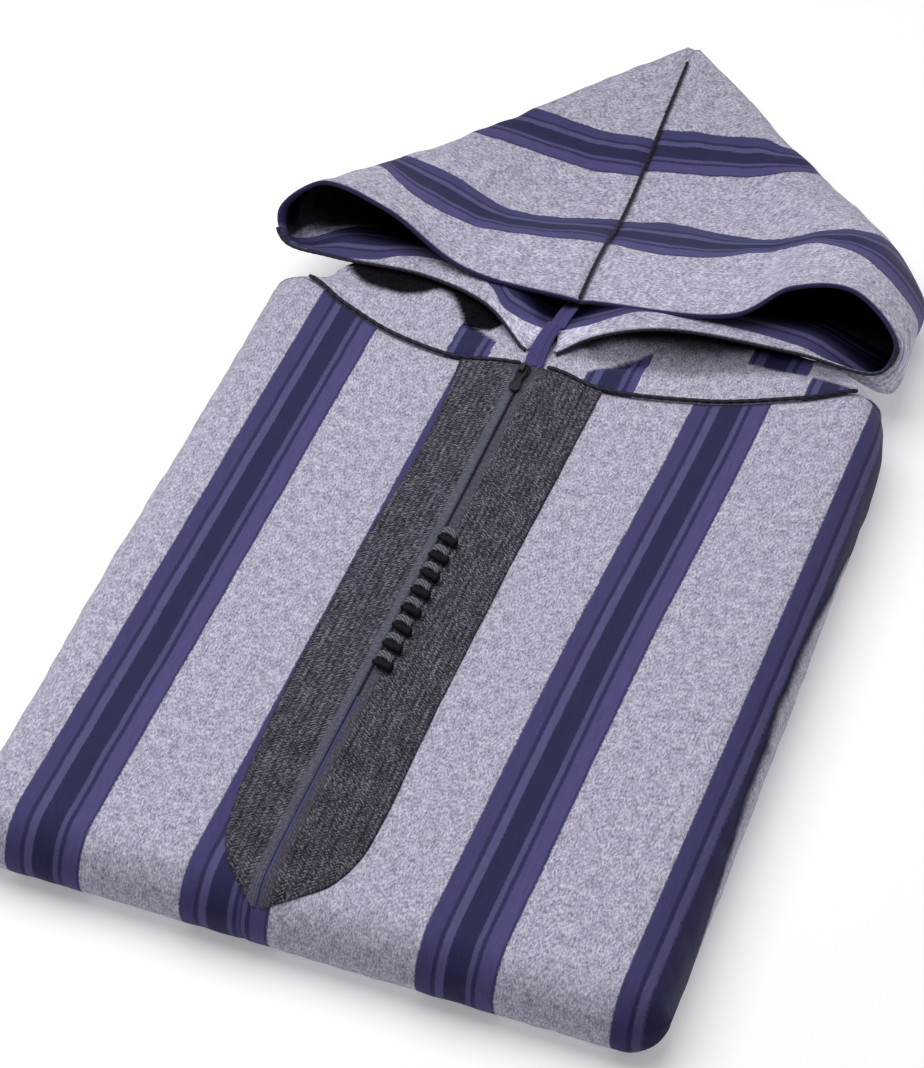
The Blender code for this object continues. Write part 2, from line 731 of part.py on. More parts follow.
def combine(target, tool, operation):
    """Joins a helper to a solid, or cuts it out, and removes the helper."""
    step = target.modifiers.new(operation.lower(), "BOOLEAN")
    step.operation = operation
    step.object = tool
    bpy.context.view_layer.update()
    evaluated = target.evaluated_get(bpy.context.evaluated_depsgraph_get())
    old = target.data
    made = bpy.data.meshes.new_from_object(evaluated)
    target.modifiers.remove(step)
    target.data = made
    made.name = target.name
    bpy.data.meshes.remove(old)
    bpy.data.objects.remove(tool, do_unlink=True)


def build_knots():
    """The row of knotted buttons below the open stretch of the zip."""
    for number in range(KNOTS):
        along = KNOT_FIRST_Y - KNOT_PITCH * number
        middle = straight(SLIT, along) + KNOT_ASIDE
        rise = THICK + 2 * SEAM_GAP + BRAID_THICK + max(r for _, r in KNOT_PROFILE)
        stack = []
        for offset, radius in KNOT_PROFILE:
            turns = [2 * math.pi * (k + 0.5) / KNOT_SIDES for k in range(KNOT_SIDES)]
            stack.append([
                (middle + offset, along + radius * math.cos(t), rise + radius * math.sin(t))
                for t in turns
            ])
        rings(f"knot_{number + 1}", stack, "knots")


def build_cords():
    """The cords over the hood's seam, along the shoulder seams and along the hood's lower edge."""
    rise = SEAM_CORD + SEAM_GAP
    left, right = hood_grid("left"), hood_grid("right")
    path = [(a[-1] + b[-1]) / 2 + (0.0, 0.0, rise + 0.2) for a, b in zip(left, right)]
    ridge = curve_through(path[:-1], [2] * (len(path) - 2))
    tube("hood_seam_cord", ridge, SEAM_CORD, "cord")

    height = THICK + SEAM_GAP + SHOULDER_CORD
    for name, start, stop in (("shoulder_cord_left", -158.0, -11.0), ("shoulder_cord_right", 14.0, 198.0)):
        places = [start + (stop - start) * k / 14 for k in range(15)]
        path = [(x, smooth(SHOULDER_SEAM, x), height) for x in places]
        tube(name, path, SHOULDER_CORD, "cord")

    for name, grid in (("rim_cord_left", left), ("rim_cord_right", right)):
        stop = sum(RIM_STEPS[:5])
        path = []
        for k in range(1, stop + 1):
            forward = grid[0, k] - grid[3, k]
            forward[2] = 0.0
            forward /= np.linalg.norm(forward)
            path.append(grid[0, k] + forward * (RIM_CORD + SEAM_GAP) + (0.0, 0.0, RIM_CORD * 0.9))
        tube(name, path, RIM_CORD, "cord")


def build_neck_tape():
    """The tape over the hood's back seam, seen in the neck above the zip."""
    halves = {-1: hood_grid("left"), 1: hood_grid("right")}
    outer, inner = [], []
    for k, share in enumerate(HOOD_ROWS):
        if not NECK_JOIN <= share <= TAPE_END:
            continue
        row = []
        for step in (-1.0, -0.5, -0.05, 0.05, 0.5, 1.0):
            seam, beside = halves[int(math.copysign(1, step))][k, :2]
            reach = abs(step) * TAPE_HALF / abs(beside[0] - seam[0])
            row.append(seam + (beside - seam) * reach)
        row = np.array(row)
        inner.append(row + (0.0, 0.0, CLOTH * 1.1 + SEAM_GAP))
        outer.append(row + (0.0, 0.0, CLOTH * 1.1 + SEAM_GAP + TAPE_THICK))
    wall("neck_tape", np.array(outer), np.array(inner), "tape")


def main():
    """Builds every piece of the folded garment."""
    clear_scene()
    build_core()
    build_panels(("front_left", "front_right"), FOLD_ROWS + TOP_ROWS, -SEAM_GAP / 2)
    build_panels(("shoulder_left", "shoulder_right"), END_ROWS, SEAM_GAP / 2)
    build_hood()
    build_placket()
    build_zip()
    build_knots()
    build_cords()
    build_neck_tape()


if __name__ == "__main__":
    main()
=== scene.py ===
"""A striped wool djellaba with a pointed hood, folded into a packet, with its hood laid out behind.

Lengths in the tables are millimetres from the top of the zip, with z = 0 on the surface that the
garment lies on. X runs across the packet and +Y runs from the bottom fold towards the hood.
"""

import logging
import math
from collections.abc import Sequence
from dataclasses import dataclass, field
from enum import Enum

import bpy
import numpy as np
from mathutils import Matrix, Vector

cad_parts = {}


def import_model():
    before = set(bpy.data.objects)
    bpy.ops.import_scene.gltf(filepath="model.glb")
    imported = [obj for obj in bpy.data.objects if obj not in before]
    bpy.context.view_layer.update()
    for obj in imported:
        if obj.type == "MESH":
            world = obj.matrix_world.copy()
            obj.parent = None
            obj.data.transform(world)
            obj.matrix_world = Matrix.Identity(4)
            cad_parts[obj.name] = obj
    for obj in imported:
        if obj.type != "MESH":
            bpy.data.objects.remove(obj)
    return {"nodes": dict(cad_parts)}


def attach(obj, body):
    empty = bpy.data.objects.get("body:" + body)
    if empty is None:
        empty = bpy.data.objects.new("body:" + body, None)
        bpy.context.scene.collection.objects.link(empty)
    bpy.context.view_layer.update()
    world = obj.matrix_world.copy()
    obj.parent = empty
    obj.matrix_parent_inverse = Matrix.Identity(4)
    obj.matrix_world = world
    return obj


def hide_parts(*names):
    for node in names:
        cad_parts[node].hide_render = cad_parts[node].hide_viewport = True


log = logging.getLogger("djellaba")

MM = 0.001
SPAN_X = (-196.4, 236.0)
SPAN_Y = (-445.9, 403.0)
ORIGIN = np.array([sum(SPAN_X) / 2, sum(SPAN_Y) / 2, 0.0])

GARMENT = "garment"
PULL_TAB = "pull_tab"
SEAM_GAP = 0.3
CLOTH = 2.0

Grid = np.ndarray
Socket = bpy.types.NodeSocket
Value = float | Sequence[float] | bpy.types.NodeSocket


class Side(Enum):
    """The wearer-facing halves of the garment, as the camera sees them."""

    LEFT = -1
    RIGHT = 1

    @property
    def sign(self) -> float:
        """Minus one on the left and one on the right."""
        return float(self.value)

    @property
    def word(self) -> str:
        """The side's name in node names."""
        return self.name.lower()


class Stretch(Enum):
    """The stretches of the packet's cloth, from under the bottom fold to the far end."""

    FOLD = "fold"
    TOP = "top"
    END = "end"


def by_side(left: object, right: object) -> dict:
    """A dataclass field with one value for the left side and one for the right."""
    return field(default_factory=lambda: {Side.LEFT: left, Side.RIGHT: right})


def unit(value: float | Grid) -> Grid:
    """The value, kept between 0 and 1."""
    return np.clip(value, 0.0, 1.0)


class Table:
    """A short table of sizes, read at any place between its rows."""

    def __init__(self, *rows: Sequence[float]) -> None:
        """Keeps the rows, sorted by their first column."""
        self.rows = np.array(sorted(rows), float)

    def straight(self, x: float | Grid, column: int = 1) -> Grid:
        """The column at x, with straight lines between the rows."""
        return np.interp(x, self.rows[:, 0], self.rows[:, column])

    def smooth(self, x: float | Grid, column: int = 1) -> Grid:
        """Reads the table with a curve through its rows that never swings past them.

        Args:
            x: Places in the first column.
            column: The column that is read.

        Returns:
            The column's values at x.
        """
        x = np.asarray(x, float)
        xs, ys = self.rows[:, 0], self.rows[:, column]
        steps = np.diff(ys) / np.diff(xs)
        before, after = steps[:-1], steps[1:]
        same = before * after > 0
        total = np.where(same, before + after, 1.0)
        slopes = np.concatenate([steps[:1], np.where(same, 2 * before * after / total, 0.0), steps[-1:]])
        k = np.clip(np.searchsorted(xs, x) - 1, 0, len(xs) - 2)
        width = xs[k + 1] - xs[k]
        t = unit((x - xs[k]) / width)
        return (
            (2 * t**3 - 3 * t**2 + 1) * ys[k]
            + (t**3 - 2 * t**2 + t) * width * slopes[k]
            + (3 * t**2 - 2 * t**3) * ys[k + 1]
            + (t**3 - t**2) * width * slopes[k + 1]
        )


@dataclass(frozen=True)
class Crease:
    """A soft trough or ridge in the cloth, between two places in the cloth's own coordinates."""

    start: tuple[float, float]
    stop: tuple[float, float]
    rise: float
    width: float
    bow: float = 0.0

    def height(self, u: Grid, v: Grid) -> Grid:
        """How far the crease lifts the cloth at each place.

        Args:
            u: Places across the cloth.
            v: Places along the cloth.

        Returns:
            Millimetres outward, less than zero in a trough.
        """
        du, dv = self.stop[0] - self.start[0], self.stop[1] - self.start[1]
        long = math.hypot(du, dv)
        along = ((u - self.start[0]) * du + (v - self.start[1]) * dv) / long**2
        aside = ((v - self.start[1]) * du - (u - self.start[0]) * dv) / long
        aside = aside - self.bow * 4 * along * (1 - along)
        taper = np.sin(math.pi * unit(along)) ** 0.8
        return self.rise * taper * np.exp(-((aside / self.width) ** 2))


@dataclass(frozen=True)
class Ripple:
    """The uneven lie of a soft cloth, as a sum of long shallow waves in many directions."""

    seed: int
    rise: float = 0.25
    shortest: float = 14.0
    longest: float = 70.0
    waves: int = 14

    def height(self, u: Grid, v: Grid) -> Grid:
        """Millimetres outward at each place of the cloth."""
        draw = np.random.default_rng(self.seed)
        found = np.zeros(np.broadcast(u, v).shape)
        for _ in range(self.waves):
            length = self.shortest * (self.longest / self.shortest) ** draw.random()
            turn, phase = draw.random(2) * 2 * math.pi
            found += np.sin(2 * math.pi * (u * math.cos(turn) + v * math.sin(turn)) / length + phase)
        return found * self.rise / math.sqrt(self.waves / 2)


def uneven(parts: Sequence[Crease | Ripple], u: Grid, v: Grid) -> Grid:
    """How far creases and ripples together lift the cloth at each place."""
    return sum(part.height(u, v) for part in parts)


def rgb(red: float, green: float, blue: float) -> tuple[float, float, float, float]:
    """A colour as it shows on a screen, from 0 to 255, turned into light."""
    parts = [c / 255 for c in (red, green, blue)]
    lit = [c / 12.92 if c <= 0.04045 else ((c + 0.055) / 1.055) ** 2.4 for c in parts]
    return (lit[0], lit[1], lit[2], 1.0)


class Shader:
    """Writes the nodes of one material."""

    def __init__(self, name: str, roughness: float, sheen: float = 0.0, metallic: float = 0.0) -> None:
        """Starts a material with one Principled shader.

        Args:
            name: The material's name.
            roughness: The surface's roughness.
            sheen: How much light the nap throws back at a low angle.
            metallic: One on metal, otherwise zero.
        """
        self.material = bpy.data.materials.new(name)
        self.material.use_nodes = True
        self.tree = self.material.node_tree
        self.surface = self.tree.nodes["Principled BSDF"]
        self.surface.inputs["Roughness"].default_value = roughness
        self.surface.inputs["Metallic"].default_value = metallic
        self.surface.inputs["Sheen Weight"].default_value = sheen
        self.surface.inputs["Sheen Roughness"].default_value = 0.45
        self.surface.inputs["Specular IOR Level"].default_value = 0.5 if metallic else 0.25

    def node(self, kind: str, **settings: object) -> bpy.types.Node:
        """A node of one kind, with its settings."""
        made = self.tree.nodes.new("ShaderNode" + kind)
        for name, value in settings.items():
            setattr(made, name, value)
        return made

    def put(self, value: Value, target: Socket) -> None:
        """Sets a socket to a number or colour, or links another socket to it."""
        if isinstance(value, bpy.types.NodeSocket):
            self.tree.links.new(value, target)
        else:
            target.default_value = value

    def math(self, operation: str, *values: Value, clamp: bool = False) -> Socket:
        """A Math node's result."""
        made = self.node("Math", operation=operation, use_clamp=clamp)
        for value, target in zip(values, made.inputs):
            self.put(value, target)
        return made.outputs[0]

    def attribute(self, name: str) -> tuple[Socket, Socket, Socket]:
        """The three parts of a point attribute."""
        read = self.node("Attribute", attribute_name=name)
        split = self.node("SeparateXYZ")
        self.put(read.outputs["Vector"], split.inputs[0])
        return split.outputs[0], split.outputs[1], split.outputs[2]

    def place(self, u: Value, v: Value, across: float, along: float, seed: float = 0.0) -> Socket:
        """A vector for a noise, whose grains are so many millimetres across and along the cloth."""
        made = self.node("CombineXYZ")
        self.put(self.math("DIVIDE", u, across), made.inputs[0])
        self.put(self.math("DIVIDE", v, along), made.inputs[1])
        made.inputs[2].default_value = seed
        return made.outputs[0]

    def noise(self, vector: Socket, detail: float = 2.0, roughness: float = 0.55) -> Socket:
        """A noise from 0 to 1."""
        made = self.node("TexNoise")
        made.inputs["Scale"].default_value = 1.0
        made.inputs["Detail"].default_value = detail
        made.inputs["Roughness"].default_value = roughness
        self.put(vector, made.inputs["Vector"])
        return made.outputs["Factor"] if "Factor" in made.outputs else made.outputs["Fac"]

    def ramp(self, factor: Value, stops: Sequence[tuple[float, Sequence[float]]]) -> bpy.types.Node:
        """A colour ramp through its stops."""
        made = self.node("ValToRGB")
        ramp = made.color_ramp
        while len(ramp.elements) < len(stops):
            ramp.elements.new(1.0)
        for element, (place, colour) in zip(ramp.elements, stops):
            element.position = place
            element.color = colour
        self.put(factor, made.inputs[0])
        return made

    def mix(self, factor: Value, first: Value, second: Value, blend: str = "MIX") -> Socket:
        """Two colours mixed."""
        made = self.node("Mix", data_type="RGBA", blend_type=blend)
        self.put(factor, made.inputs[0])
        self.put(first, made.inputs[6])
        self.put(second, made.inputs[7])
        return made.outputs[2]

    def finish(self, colour: Socket, height: Socket | None = None, bump: float = 0.4,
               reach: float = 0.3) -> bpy.types.Material:
        """Joins colour and relief to the surface.

        Args:
            colour: The colour all over.
            height: The relief, from 0 to 1.
            bump: How strongly the relief shows.
            reach: The relief's depth in millimetres.

        Returns:
            The finished material.
        """
        self.put(colour, self.surface.inputs["Base Color"])
        if height is not None:
            made = self.node("Bump")
            made.inputs["Strength"].default_value = bump
            made.inputs["Distance"].default_value = reach * MM
            self.put(height, made.inputs["Height"])
            self.put(made.outputs[0], self.surface.inputs["Normal"])
        return self.material


@dataclass(frozen=True)
class StripedWool:
    """Grey melange wool with clusters of navy stripes.

    The point attribute "cloth" gives the place in the stripes' repeat and the places across and
    along the cloth, and "tone" how far the navy facing covers it, how much painted light is left on it,
    with painted shade where it is low, and how far plain grey takes the place of its stripes.
    """

    name: str = "striped_wool"
    repeat: float = 102.3
    cluster: float = 44.0
    pale: tuple[float, ...] = rgb(226, 224, 240)
    grey: tuple[float, ...] = rgb(182, 179, 200)
    fleck: tuple[float, ...] = rgb(128, 124, 148)
    facing: tuple[float, ...] = rgb(42, 40, 80)
    # share of painted light over the whole material; below one it paints shade
    shade: float = 1.0
    stripes: tuple[tuple[float, tuple[float, ...]], ...] = (
        # where each stripe starts in the cluster, and its colour
        (0.0, rgb(72, 70, 118)),
        (8.8, rgb(50, 50, 92)),
        (11.4, rgb(90, 88, 134)),
        (16.0, rgb(44, 46, 84)),
        (28.3, rgb(86, 84, 130)),
        (31.2, rgb(50, 50, 94)),
        (33.6, rgb(84, 80, 132)),
        (42.4, rgb(62, 60, 106)),
    )
    blur: float = 0.7

    def build(self) -> bpy.types.Material:
        """Writes the material's nodes.

        Returns:
            The material.
        """
        s = Shader(self.name, roughness=0.92, sheen=0.12)
        phase, u, v = s.attribute("cloth")
        cover, dark, plain = s.attribute("tone")
        slub = s.noise(s.place(u, v, 1.15, 2.4, 3.0), 3.0, 0.62)
        fine = s.noise(s.place(u, v, 0.6, 0.85, 7.0), 2.0, 0.6)
        patch = s.noise(s.place(u, v, 5.0, 8.0, 11.0), 2.0, 0.5)
        wander = s.noise(s.place(u, v, 1.3, 2.2, 5.0), 2.0, 0.6)
        shifted = s.math("ADD", phase, s.math("MULTIPLY", s.math("SUBTRACT", wander, 0.5), 1.7))
        share = s.math("DIVIDE", s.math("FLOORED_MODULO", shifted, self.repeat), self.repeat)

        clear = (0.0, 0.0, 0.0, 0.0)
        stops, before = [], clear
        for start, colour in [*self.stripes, (self.cluster, clear)]:
            stops += [(start / self.repeat, before), ((start + self.blur) / self.repeat, colour)]
            before = colour
        cluster = s.ramp(share, stops)
        streak = s.noise(s.place(u, v, 0.9, 14.0, 17.0), 2.0, 0.6)
        light = s.math("ADD", 0.52, s.math("MULTIPLY", streak, 0.62))
        light = s.math("ADD", light, s.math("MULTIPLY", fine, 0.28))
        navy = s.mix(1.0, cluster.outputs[0], self.level(s, light), "MULTIPLY")

        blend = s.math("ADD", s.math("MULTIPLY", slub, 0.55), s.math("MULTIPLY", fine, 0.25))
        blend = s.math("ADD", blend, s.math("MULTIPLY", patch, 0.2))
        melange = s.ramp(blend, [(0.39, self.fleck), (0.5, self.grey), (0.6, self.pale)])
        striped = s.math("MULTIPLY", cluster.outputs[1], s.math("SUBTRACT", 1.0, plain))
        colour = s.mix(striped, melange.outputs[0], navy)
        edge = s.mix(1.0, self.facing, self.level(s, light), "MULTIPLY")
        colour = s.mix(cover, colour, edge)
        # painted shade: the tone's light share, times the material's shade, darkens the colour and takes
        # away its sheen and specular
        colour = s.mix(1.0, colour, self.level(s, s.math("MULTIPLY", dark, self.shade)), "MULTIPLY")
        lit = s.math("MULTIPLY", dark, dark, clamp=True)
        s.put(s.math("MULTIPLY", lit, 0.12), s.surface.inputs["Sheen Weight"])
        s.put(s.math("MULTIPLY", lit, 0.25), s.surface.inputs["Specular IOR Level"])

        warp = s.math("SINE", s.math("MULTIPLY", u, 2 * math.pi / 0.9))
        weft = s.math("SINE", s.math("MULTIPLY", v, 2 * math.pi / 0.8))
        threads = s.math("MULTIPLY", s.math("MULTIPLY", warp, weft), 0.18)
        height = s.math("ADD", s.math("ADD", slub, s.math("MULTIPLY", fine, 0.6)), threads)
        return s.finish(colour, height, bump=0.5, reach=0.45)

    @staticmethod
    def level(s: Shader, amount: Socket) -> Socket:
        """A grey of one brightness, to multiply a colour by."""
        made = s.node("CombineColor")
        for target in made.inputs:
            s.put(amount, target)
        return made.outputs[0]


@dataclass(frozen=True)
class BraidWeave:
    """Charcoal braid, speckled, with a painted highlight on its ridges and painted shade, nearly black,
    between them.

    The point attribute "braid" gives the ridge's height and the places across and along the band.
    """

    name: str
    strip: tuple[float, ...]
    # painted shade in the grooves, a middle tone, and a painted highlight on the ridges
    groove_shade: tuple[float, ...] = rgb(16, 16, 24)
    middle: tuple[float, ...] = rgb(68, 68, 80)
    ridge: tuple[float, ...] = rgb(138, 138, 150)
    plain: float = 5.5

    def build(self) -> bpy.types.Material:
        """Writes the material's nodes.

        Returns:
            The material.
        """
        s = Shader(self.name, roughness=0.8, sheen=0.06)
        rise, u, v = s.attribute("braid")
        slant = s.math("ADD", v, s.math("MULTIPLY", u, 0.7))
        speck = s.noise(s.place(u, slant, 2.0, 1.4, 2.0), 3.0, 0.65)
        tone = s.noise(s.place(u, v, 6.0, 18.0, 6.0), 2.0, 0.5)
        # painted light from the relief: paler on the ridges, nearly black in the grooves, over the
        # braid's own speckle
        level = s.math("ADD", s.math("MULTIPLY", rise, 0.26), s.math("MULTIPLY", speck, 1.15))
        level = s.math("ADD", level, s.math("MULTIPLY", s.math("SUBTRACT", tone, 0.5), 0.3))
        colour = s.ramp(level, [(0.5, self.groove_shade), (0.7, self.middle), (0.9, self.ridge)])
        beside = s.math("MULTIPLY", s.math("SUBTRACT", self.plain + 0.6, u), 0.8, clamp=True)
        grain = s.math("ADD", 0.45, speck)
        strip = s.mix(1.0, self.strip, StripedWool.level(s, grain), "MULTIPLY")
        colour = s.mix(s.math("MULTIPLY", beside, 0.75), colour.outputs[0], strip)
        # darker towards the lower end of the band
        lower = s.math("DIVIDE", s.math("SUBTRACT", -250.0, v), 140.0, clamp=True)
        dimmed = s.math("SUBTRACT", 1.0, s.math("MULTIPLY", lower, 0.14))
        colour = s.mix(1.0, colour, StripedWool.level(s, dimmed), "MULTIPLY")
        thread = s.noise(s.place(u, v, 0.28, 0.28, 9.0), 2.0, 0.6)
        return s.finish(colour, thread, bump=0.35, reach=0.25)


@dataclass(frozen=True)
class Thread:
    """A dark spun cord or thread, paler on the crests of its twist, a painted highlight."""

    name: str
    # dark is the thread's own colour; light is a painted highlight on its crests
    dark: tuple[float, ...] = rgb(14, 14, 26)
    light: tuple[float, ...] = rgb(44, 44, 62)
    roughness: float = 0.55
    sheen: float = 0.08

    def build(self) -> bpy.types.Material:
        """Writes the material's nodes.

        Returns:
            The material.
        """
        s = Shader(self.name, roughness=self.roughness, sheen=self.sheen)
        rise, u, v = s.attribute("braid")
        speck = s.noise(s.place(u, v, 0.5, 0.8, 4.0), 2.0, 0.6)
        # painted highlight: the crests of the twist take the light colour
        level = s.math("ADD", s.math("MULTIPLY", rise, 0.5), s.math("MULTIPLY", speck, 0.5))
        colour = s.ramp(level, [(0.25, self.dark), (0.85, self.light)])
        return s.finish(colour.outputs[0], speck, bump=0.3, reach=0.15)


@dataclass(frozen=True)
class ZipMetal:
    """The zip's black painted metal, a little rubbed."""

    name: str = "zip_metal"
    paint: tuple[float, ...] = rgb(7, 7, 10)
    rubbed: tuple[float, ...] = rgb(70, 70, 78)

    def build(self) -> bpy.types.Material:
        """Writes the material's nodes.

        Returns:
            The material.
        """
        s = Shader(self.name, roughness=0.5)
        s.surface.inputs["Specular IOR Level"].default_value = 0.12
        where = s.node("NewGeometry")
        worn = s.math("MULTIPLY", s.math("SUBTRACT", where.outputs["Pointiness"], 0.52), 9.0, clamp=True)
        coordinates = s.node("TexCoord")
        scale = s.node("VectorMath", operation="SCALE")
        s.put(coordinates.outputs["Object"], scale.inputs[0])
        scale.inputs["Scale"].default_value = 900.0
        grain = s.noise(scale.outputs[0], 3.0, 0.6)
        worn = s.math("MULTIPLY", worn, s.math("ADD", grain, 0.3), clamp=True)
        return s.finish(s.mix(worn, self.paint, self.rubbed), grain, bump=0.12, reach=0.1)


def built(finish: StripedWool | Thread | ZipMetal) -> bpy.types.Material:
    """A dataclass field that holds a finish's material."""
    return field(default_factory=finish.build)


@dataclass(frozen=True)
class Finishes:
    """Every finish of the garment, built once."""

    wool: bpy.types.Material = built(StripedWool())
    # the folded layers: a copy of the striped wool with painted shade over it all
    layers: bpy.types.Material = built(StripedWool(name="folded_wool", shade=0.9))
    braid: dict[Side, bpy.types.Material] = field(default_factory=lambda: {
        Side.LEFT: BraidWeave("braid_left", rgb(96, 100, 116)).build(),
        Side.RIGHT: BraidWeave("braid_right", rgb(80, 78, 92), middle=rgb(66, 63, 75)).build()})
    cord: bpy.types.Material = built(Thread("cord_thread"))
    tape: bpy.types.Material = built(
        Thread("tape_thread", rgb(50, 47, 96), rgb(92, 88, 148), 0.85, 0.1))
    knot: bpy.types.Material = built(Thread("knot_thread", rgb(3, 3, 7), rgb(20, 20, 28), 0.7, 0.0))
    # the loops: pale grey, partly the cord's own colour and partly a painted highlight where light
    # catches them
    loop: bpy.types.Material = built(
        Thread("loop_thread", rgb(70, 70, 80), rgb(140, 140, 150), 0.85))
    metal: bpy.types.Material = built(ZipMetal())


def stacked(*parts: float | Grid) -> Grid:
    """Numbers and grids, spread to one shape and stacked along a last axis."""
    return np.stack(np.broadcast_arrays(*parts), axis=-1)


def grid_faces(rows: int, columns: int, first: int = 0, turned: bool = False) -> Grid:
    """Quads between the points of a grid that is stored row by row."""
    i, j = np.meshgrid(np.arange(rows - 1), np.arange(columns - 1), indexing="ij")
    a = (first + i * columns + j).ravel()
    faces = np.stack([a, a + 1, a + columns + 1, a + columns], axis=1)
    return faces[:, ::-1] if turned else faces


def tube_faces(rows: int, around: int) -> list[list[int]]:
    """Quads between closed rings of points that are stored ring by ring, and a face over each end."""
    i, j = np.meshgrid(np.arange(rows - 1), np.arange(around), indexing="ij")
    a, b = (i * around + j).ravel(), (i * around + (j + 1) % around).ravel()
    faces = np.stack([a, b, b + around, a + around], axis=1).tolist()
    faces.append(list(range(around))[::-1])
    faces.append([(rows - 1) * around + k for k in range(around)])
    return faces


def border(rows: int, columns: int) -> Grid:
    """The points round a grid's edge, in order."""
    edge = [*range(columns)]
    edge += [i * columns + columns - 1 for i in range(1, rows)]
    edge += [(rows - 1) * columns + j for j in range(columns - 2, -1, -1)]
    edge += [i * columns for i in range(rows - 2, 0, -1)]
    return np.array(edge)


def make_mesh(name: str, points: Grid, faces: Grid | list, finishes: Sequence[bpy.types.Material],
              marks: dict[str, Grid] | None = None) -> bpy.types.Object:
    """A smooth mesh object from points in millimetres, its faces turned outward.

    Args:
        name: The piece's name.
        points: One row of three numbers a point.
        faces: The points of each face.
        finishes: The materials, the first of them on every face.
        marks: Point attributes of three numbers each.

    Returns:
        The object, linked to the scene.
    """
    placed = (np.asarray(points, float) - ORIGIN) * MM
    if isinstance(faces, np.ndarray):
        corners = placed[faces]
        volume = 0.0
        for k in range(1, corners.shape[1] - 1):
            cross = np.cross(corners[:, k], corners[:, k + 1])
            volume += float(np.einsum("ij,ij->", corners[:, 0], cross))
        if volume < 0:
            faces = faces[:, ::-1]
        faces = faces.tolist()
    mesh = bpy.data.meshes.new(name)
    mesh.from_pydata(placed.tolist(), [], faces)
    for finish in finishes:
        mesh.materials.append(finish)
    for mark, values in (marks or {}).items():
        made = mesh.attributes.new(mark, "FLOAT_VECTOR", "POINT")
        made.data.foreach_set("vector", np.ascontiguousarray(values, dtype=np.float32).ravel())
    mesh.shade_smooth()
    made = bpy.data.objects.new(name, mesh)
    bpy.context.scene.collection.objects.link(made)
    return made


def shell(name: str, outer: Grid, inner: Grid, finishes: Sequence[bpy.types.Material],
          marks: dict[str, tuple[Grid, Grid]]) -> bpy.types.Object:
    """A thin wall between two grids of points, closed round its edge.

    Args:
        name: The piece's name.
        outer: The outside's points, row by row.
        inner: The inside's points, in the same rows and columns.
        finishes: The materials.
        marks: Point attributes, each with its values outside and inside.

    Returns:
        The object.
    """
    rows, columns = outer.shape[:2]
    count = rows * columns
    edge = border(rows, columns)
    after = np.roll(edge, -1)
    rim = np.stack([after, edge, edge + count, after + count], axis=1)
    faces = np.concatenate([grid_faces(rows, columns), grid_faces(rows, columns, count, True), rim])
    points = np.concatenate([outer.reshape(-1, 3), inner.reshape(-1, 3)])
    both = {
        mark: np.concatenate([out.reshape(-1, 3), inside.reshape(-1, 3)])
        for mark, (out, inside) in marks.items()
    }
    return make_mesh(name, points, faces, finishes, both)


def grid_normals(grid: Grid) -> Grid:
    """Unit normals of a grid, on the side that its rows and columns turn to."""
    normal = np.cross(np.gradient(grid, axis=0), np.gradient(grid, axis=1))
    return normal / np.maximum(np.linalg.norm(normal, axis=2, keepdims=True), 1e-9)


def curve_through(points: Sequence[Sequence[float]] | Grid, steps: Sequence[int]) -> Grid:
    """Points along a smooth curve through the given ones.

    Args:
        points: The points that the curve passes.
        steps: How many steps there are in each span.

    Returns:
        The curve's points.
    """
    p = np.asarray(points, float)
    p = np.vstack([2 * p[0] - p[1], p, 2 * p[-1] - p[-2]])
    found = []
    for i, count in enumerate(steps):
        a, b, c, d = p[i : i + 4]
        knots = [0.0]
        for start, end in ((a, b), (b, c), (c, d)):
            knots.append(knots[-1] + math.sqrt(np.linalg.norm(end - start)) + 1e-9)
        t = (knots[1] + (knots[2] - knots[1]) * np.arange(count) / count)[:, None]
        ab = (knots[1] - t) / knots[1] * a + t / knots[1] * b
        bc = ((knots[2] - t) * b + (t - knots[1]) * c) / (knots[2] - knots[1])
        cd = ((knots[3] - t) * c + (t - knots[2]) * d) / (knots[3] - knots[2])
        abc = ((knots[2] - t) * ab + t * bc) / knots[2]
        bcd = ((knots[3] - t) * bc + (t - knots[1]) * cd) / (knots[3] - knots[1])
        found.append(((knots[2] - t) * abc + (t - knots[1]) * bcd) / (knots[2] - knots[1]))
    found.append(p[-2][None])
    return np.concatenate(found)


def power(value: Grid, exponent: float) -> Grid:
    """A signed power, for the rounded profile of the packet's sides."""
    return np.sign(value) * np.abs(value) ** exponent


@dataclass(frozen=True)
class Columns:
    """Lines along one panel: a share of the flat top's half width, or an angle round the side."""

    side: Side
    share: Grid
    angle: Grid

    @staticmethod
    def across(side: Side, wrap: float, flat: int, round_side: int) -> "Columns":
        """Columns from the middle seam out over the side.

        Args:
            side: The panel's side.
            wrap: How far round the side the cloth goes, in degrees.
            flat: Steps across the flat top.
            round_side: Steps round the side.

        Returns:
            The columns.
        """
        share = np.concatenate([np.linspace(0.0, 1.0, flat + 1), np.ones(round_side)])
        angle = np.concatenate([np.zeros(flat + 1), np.linspace(0.0, wrap, round_side + 1)[1:]])
        return Columns(side, share, angle)


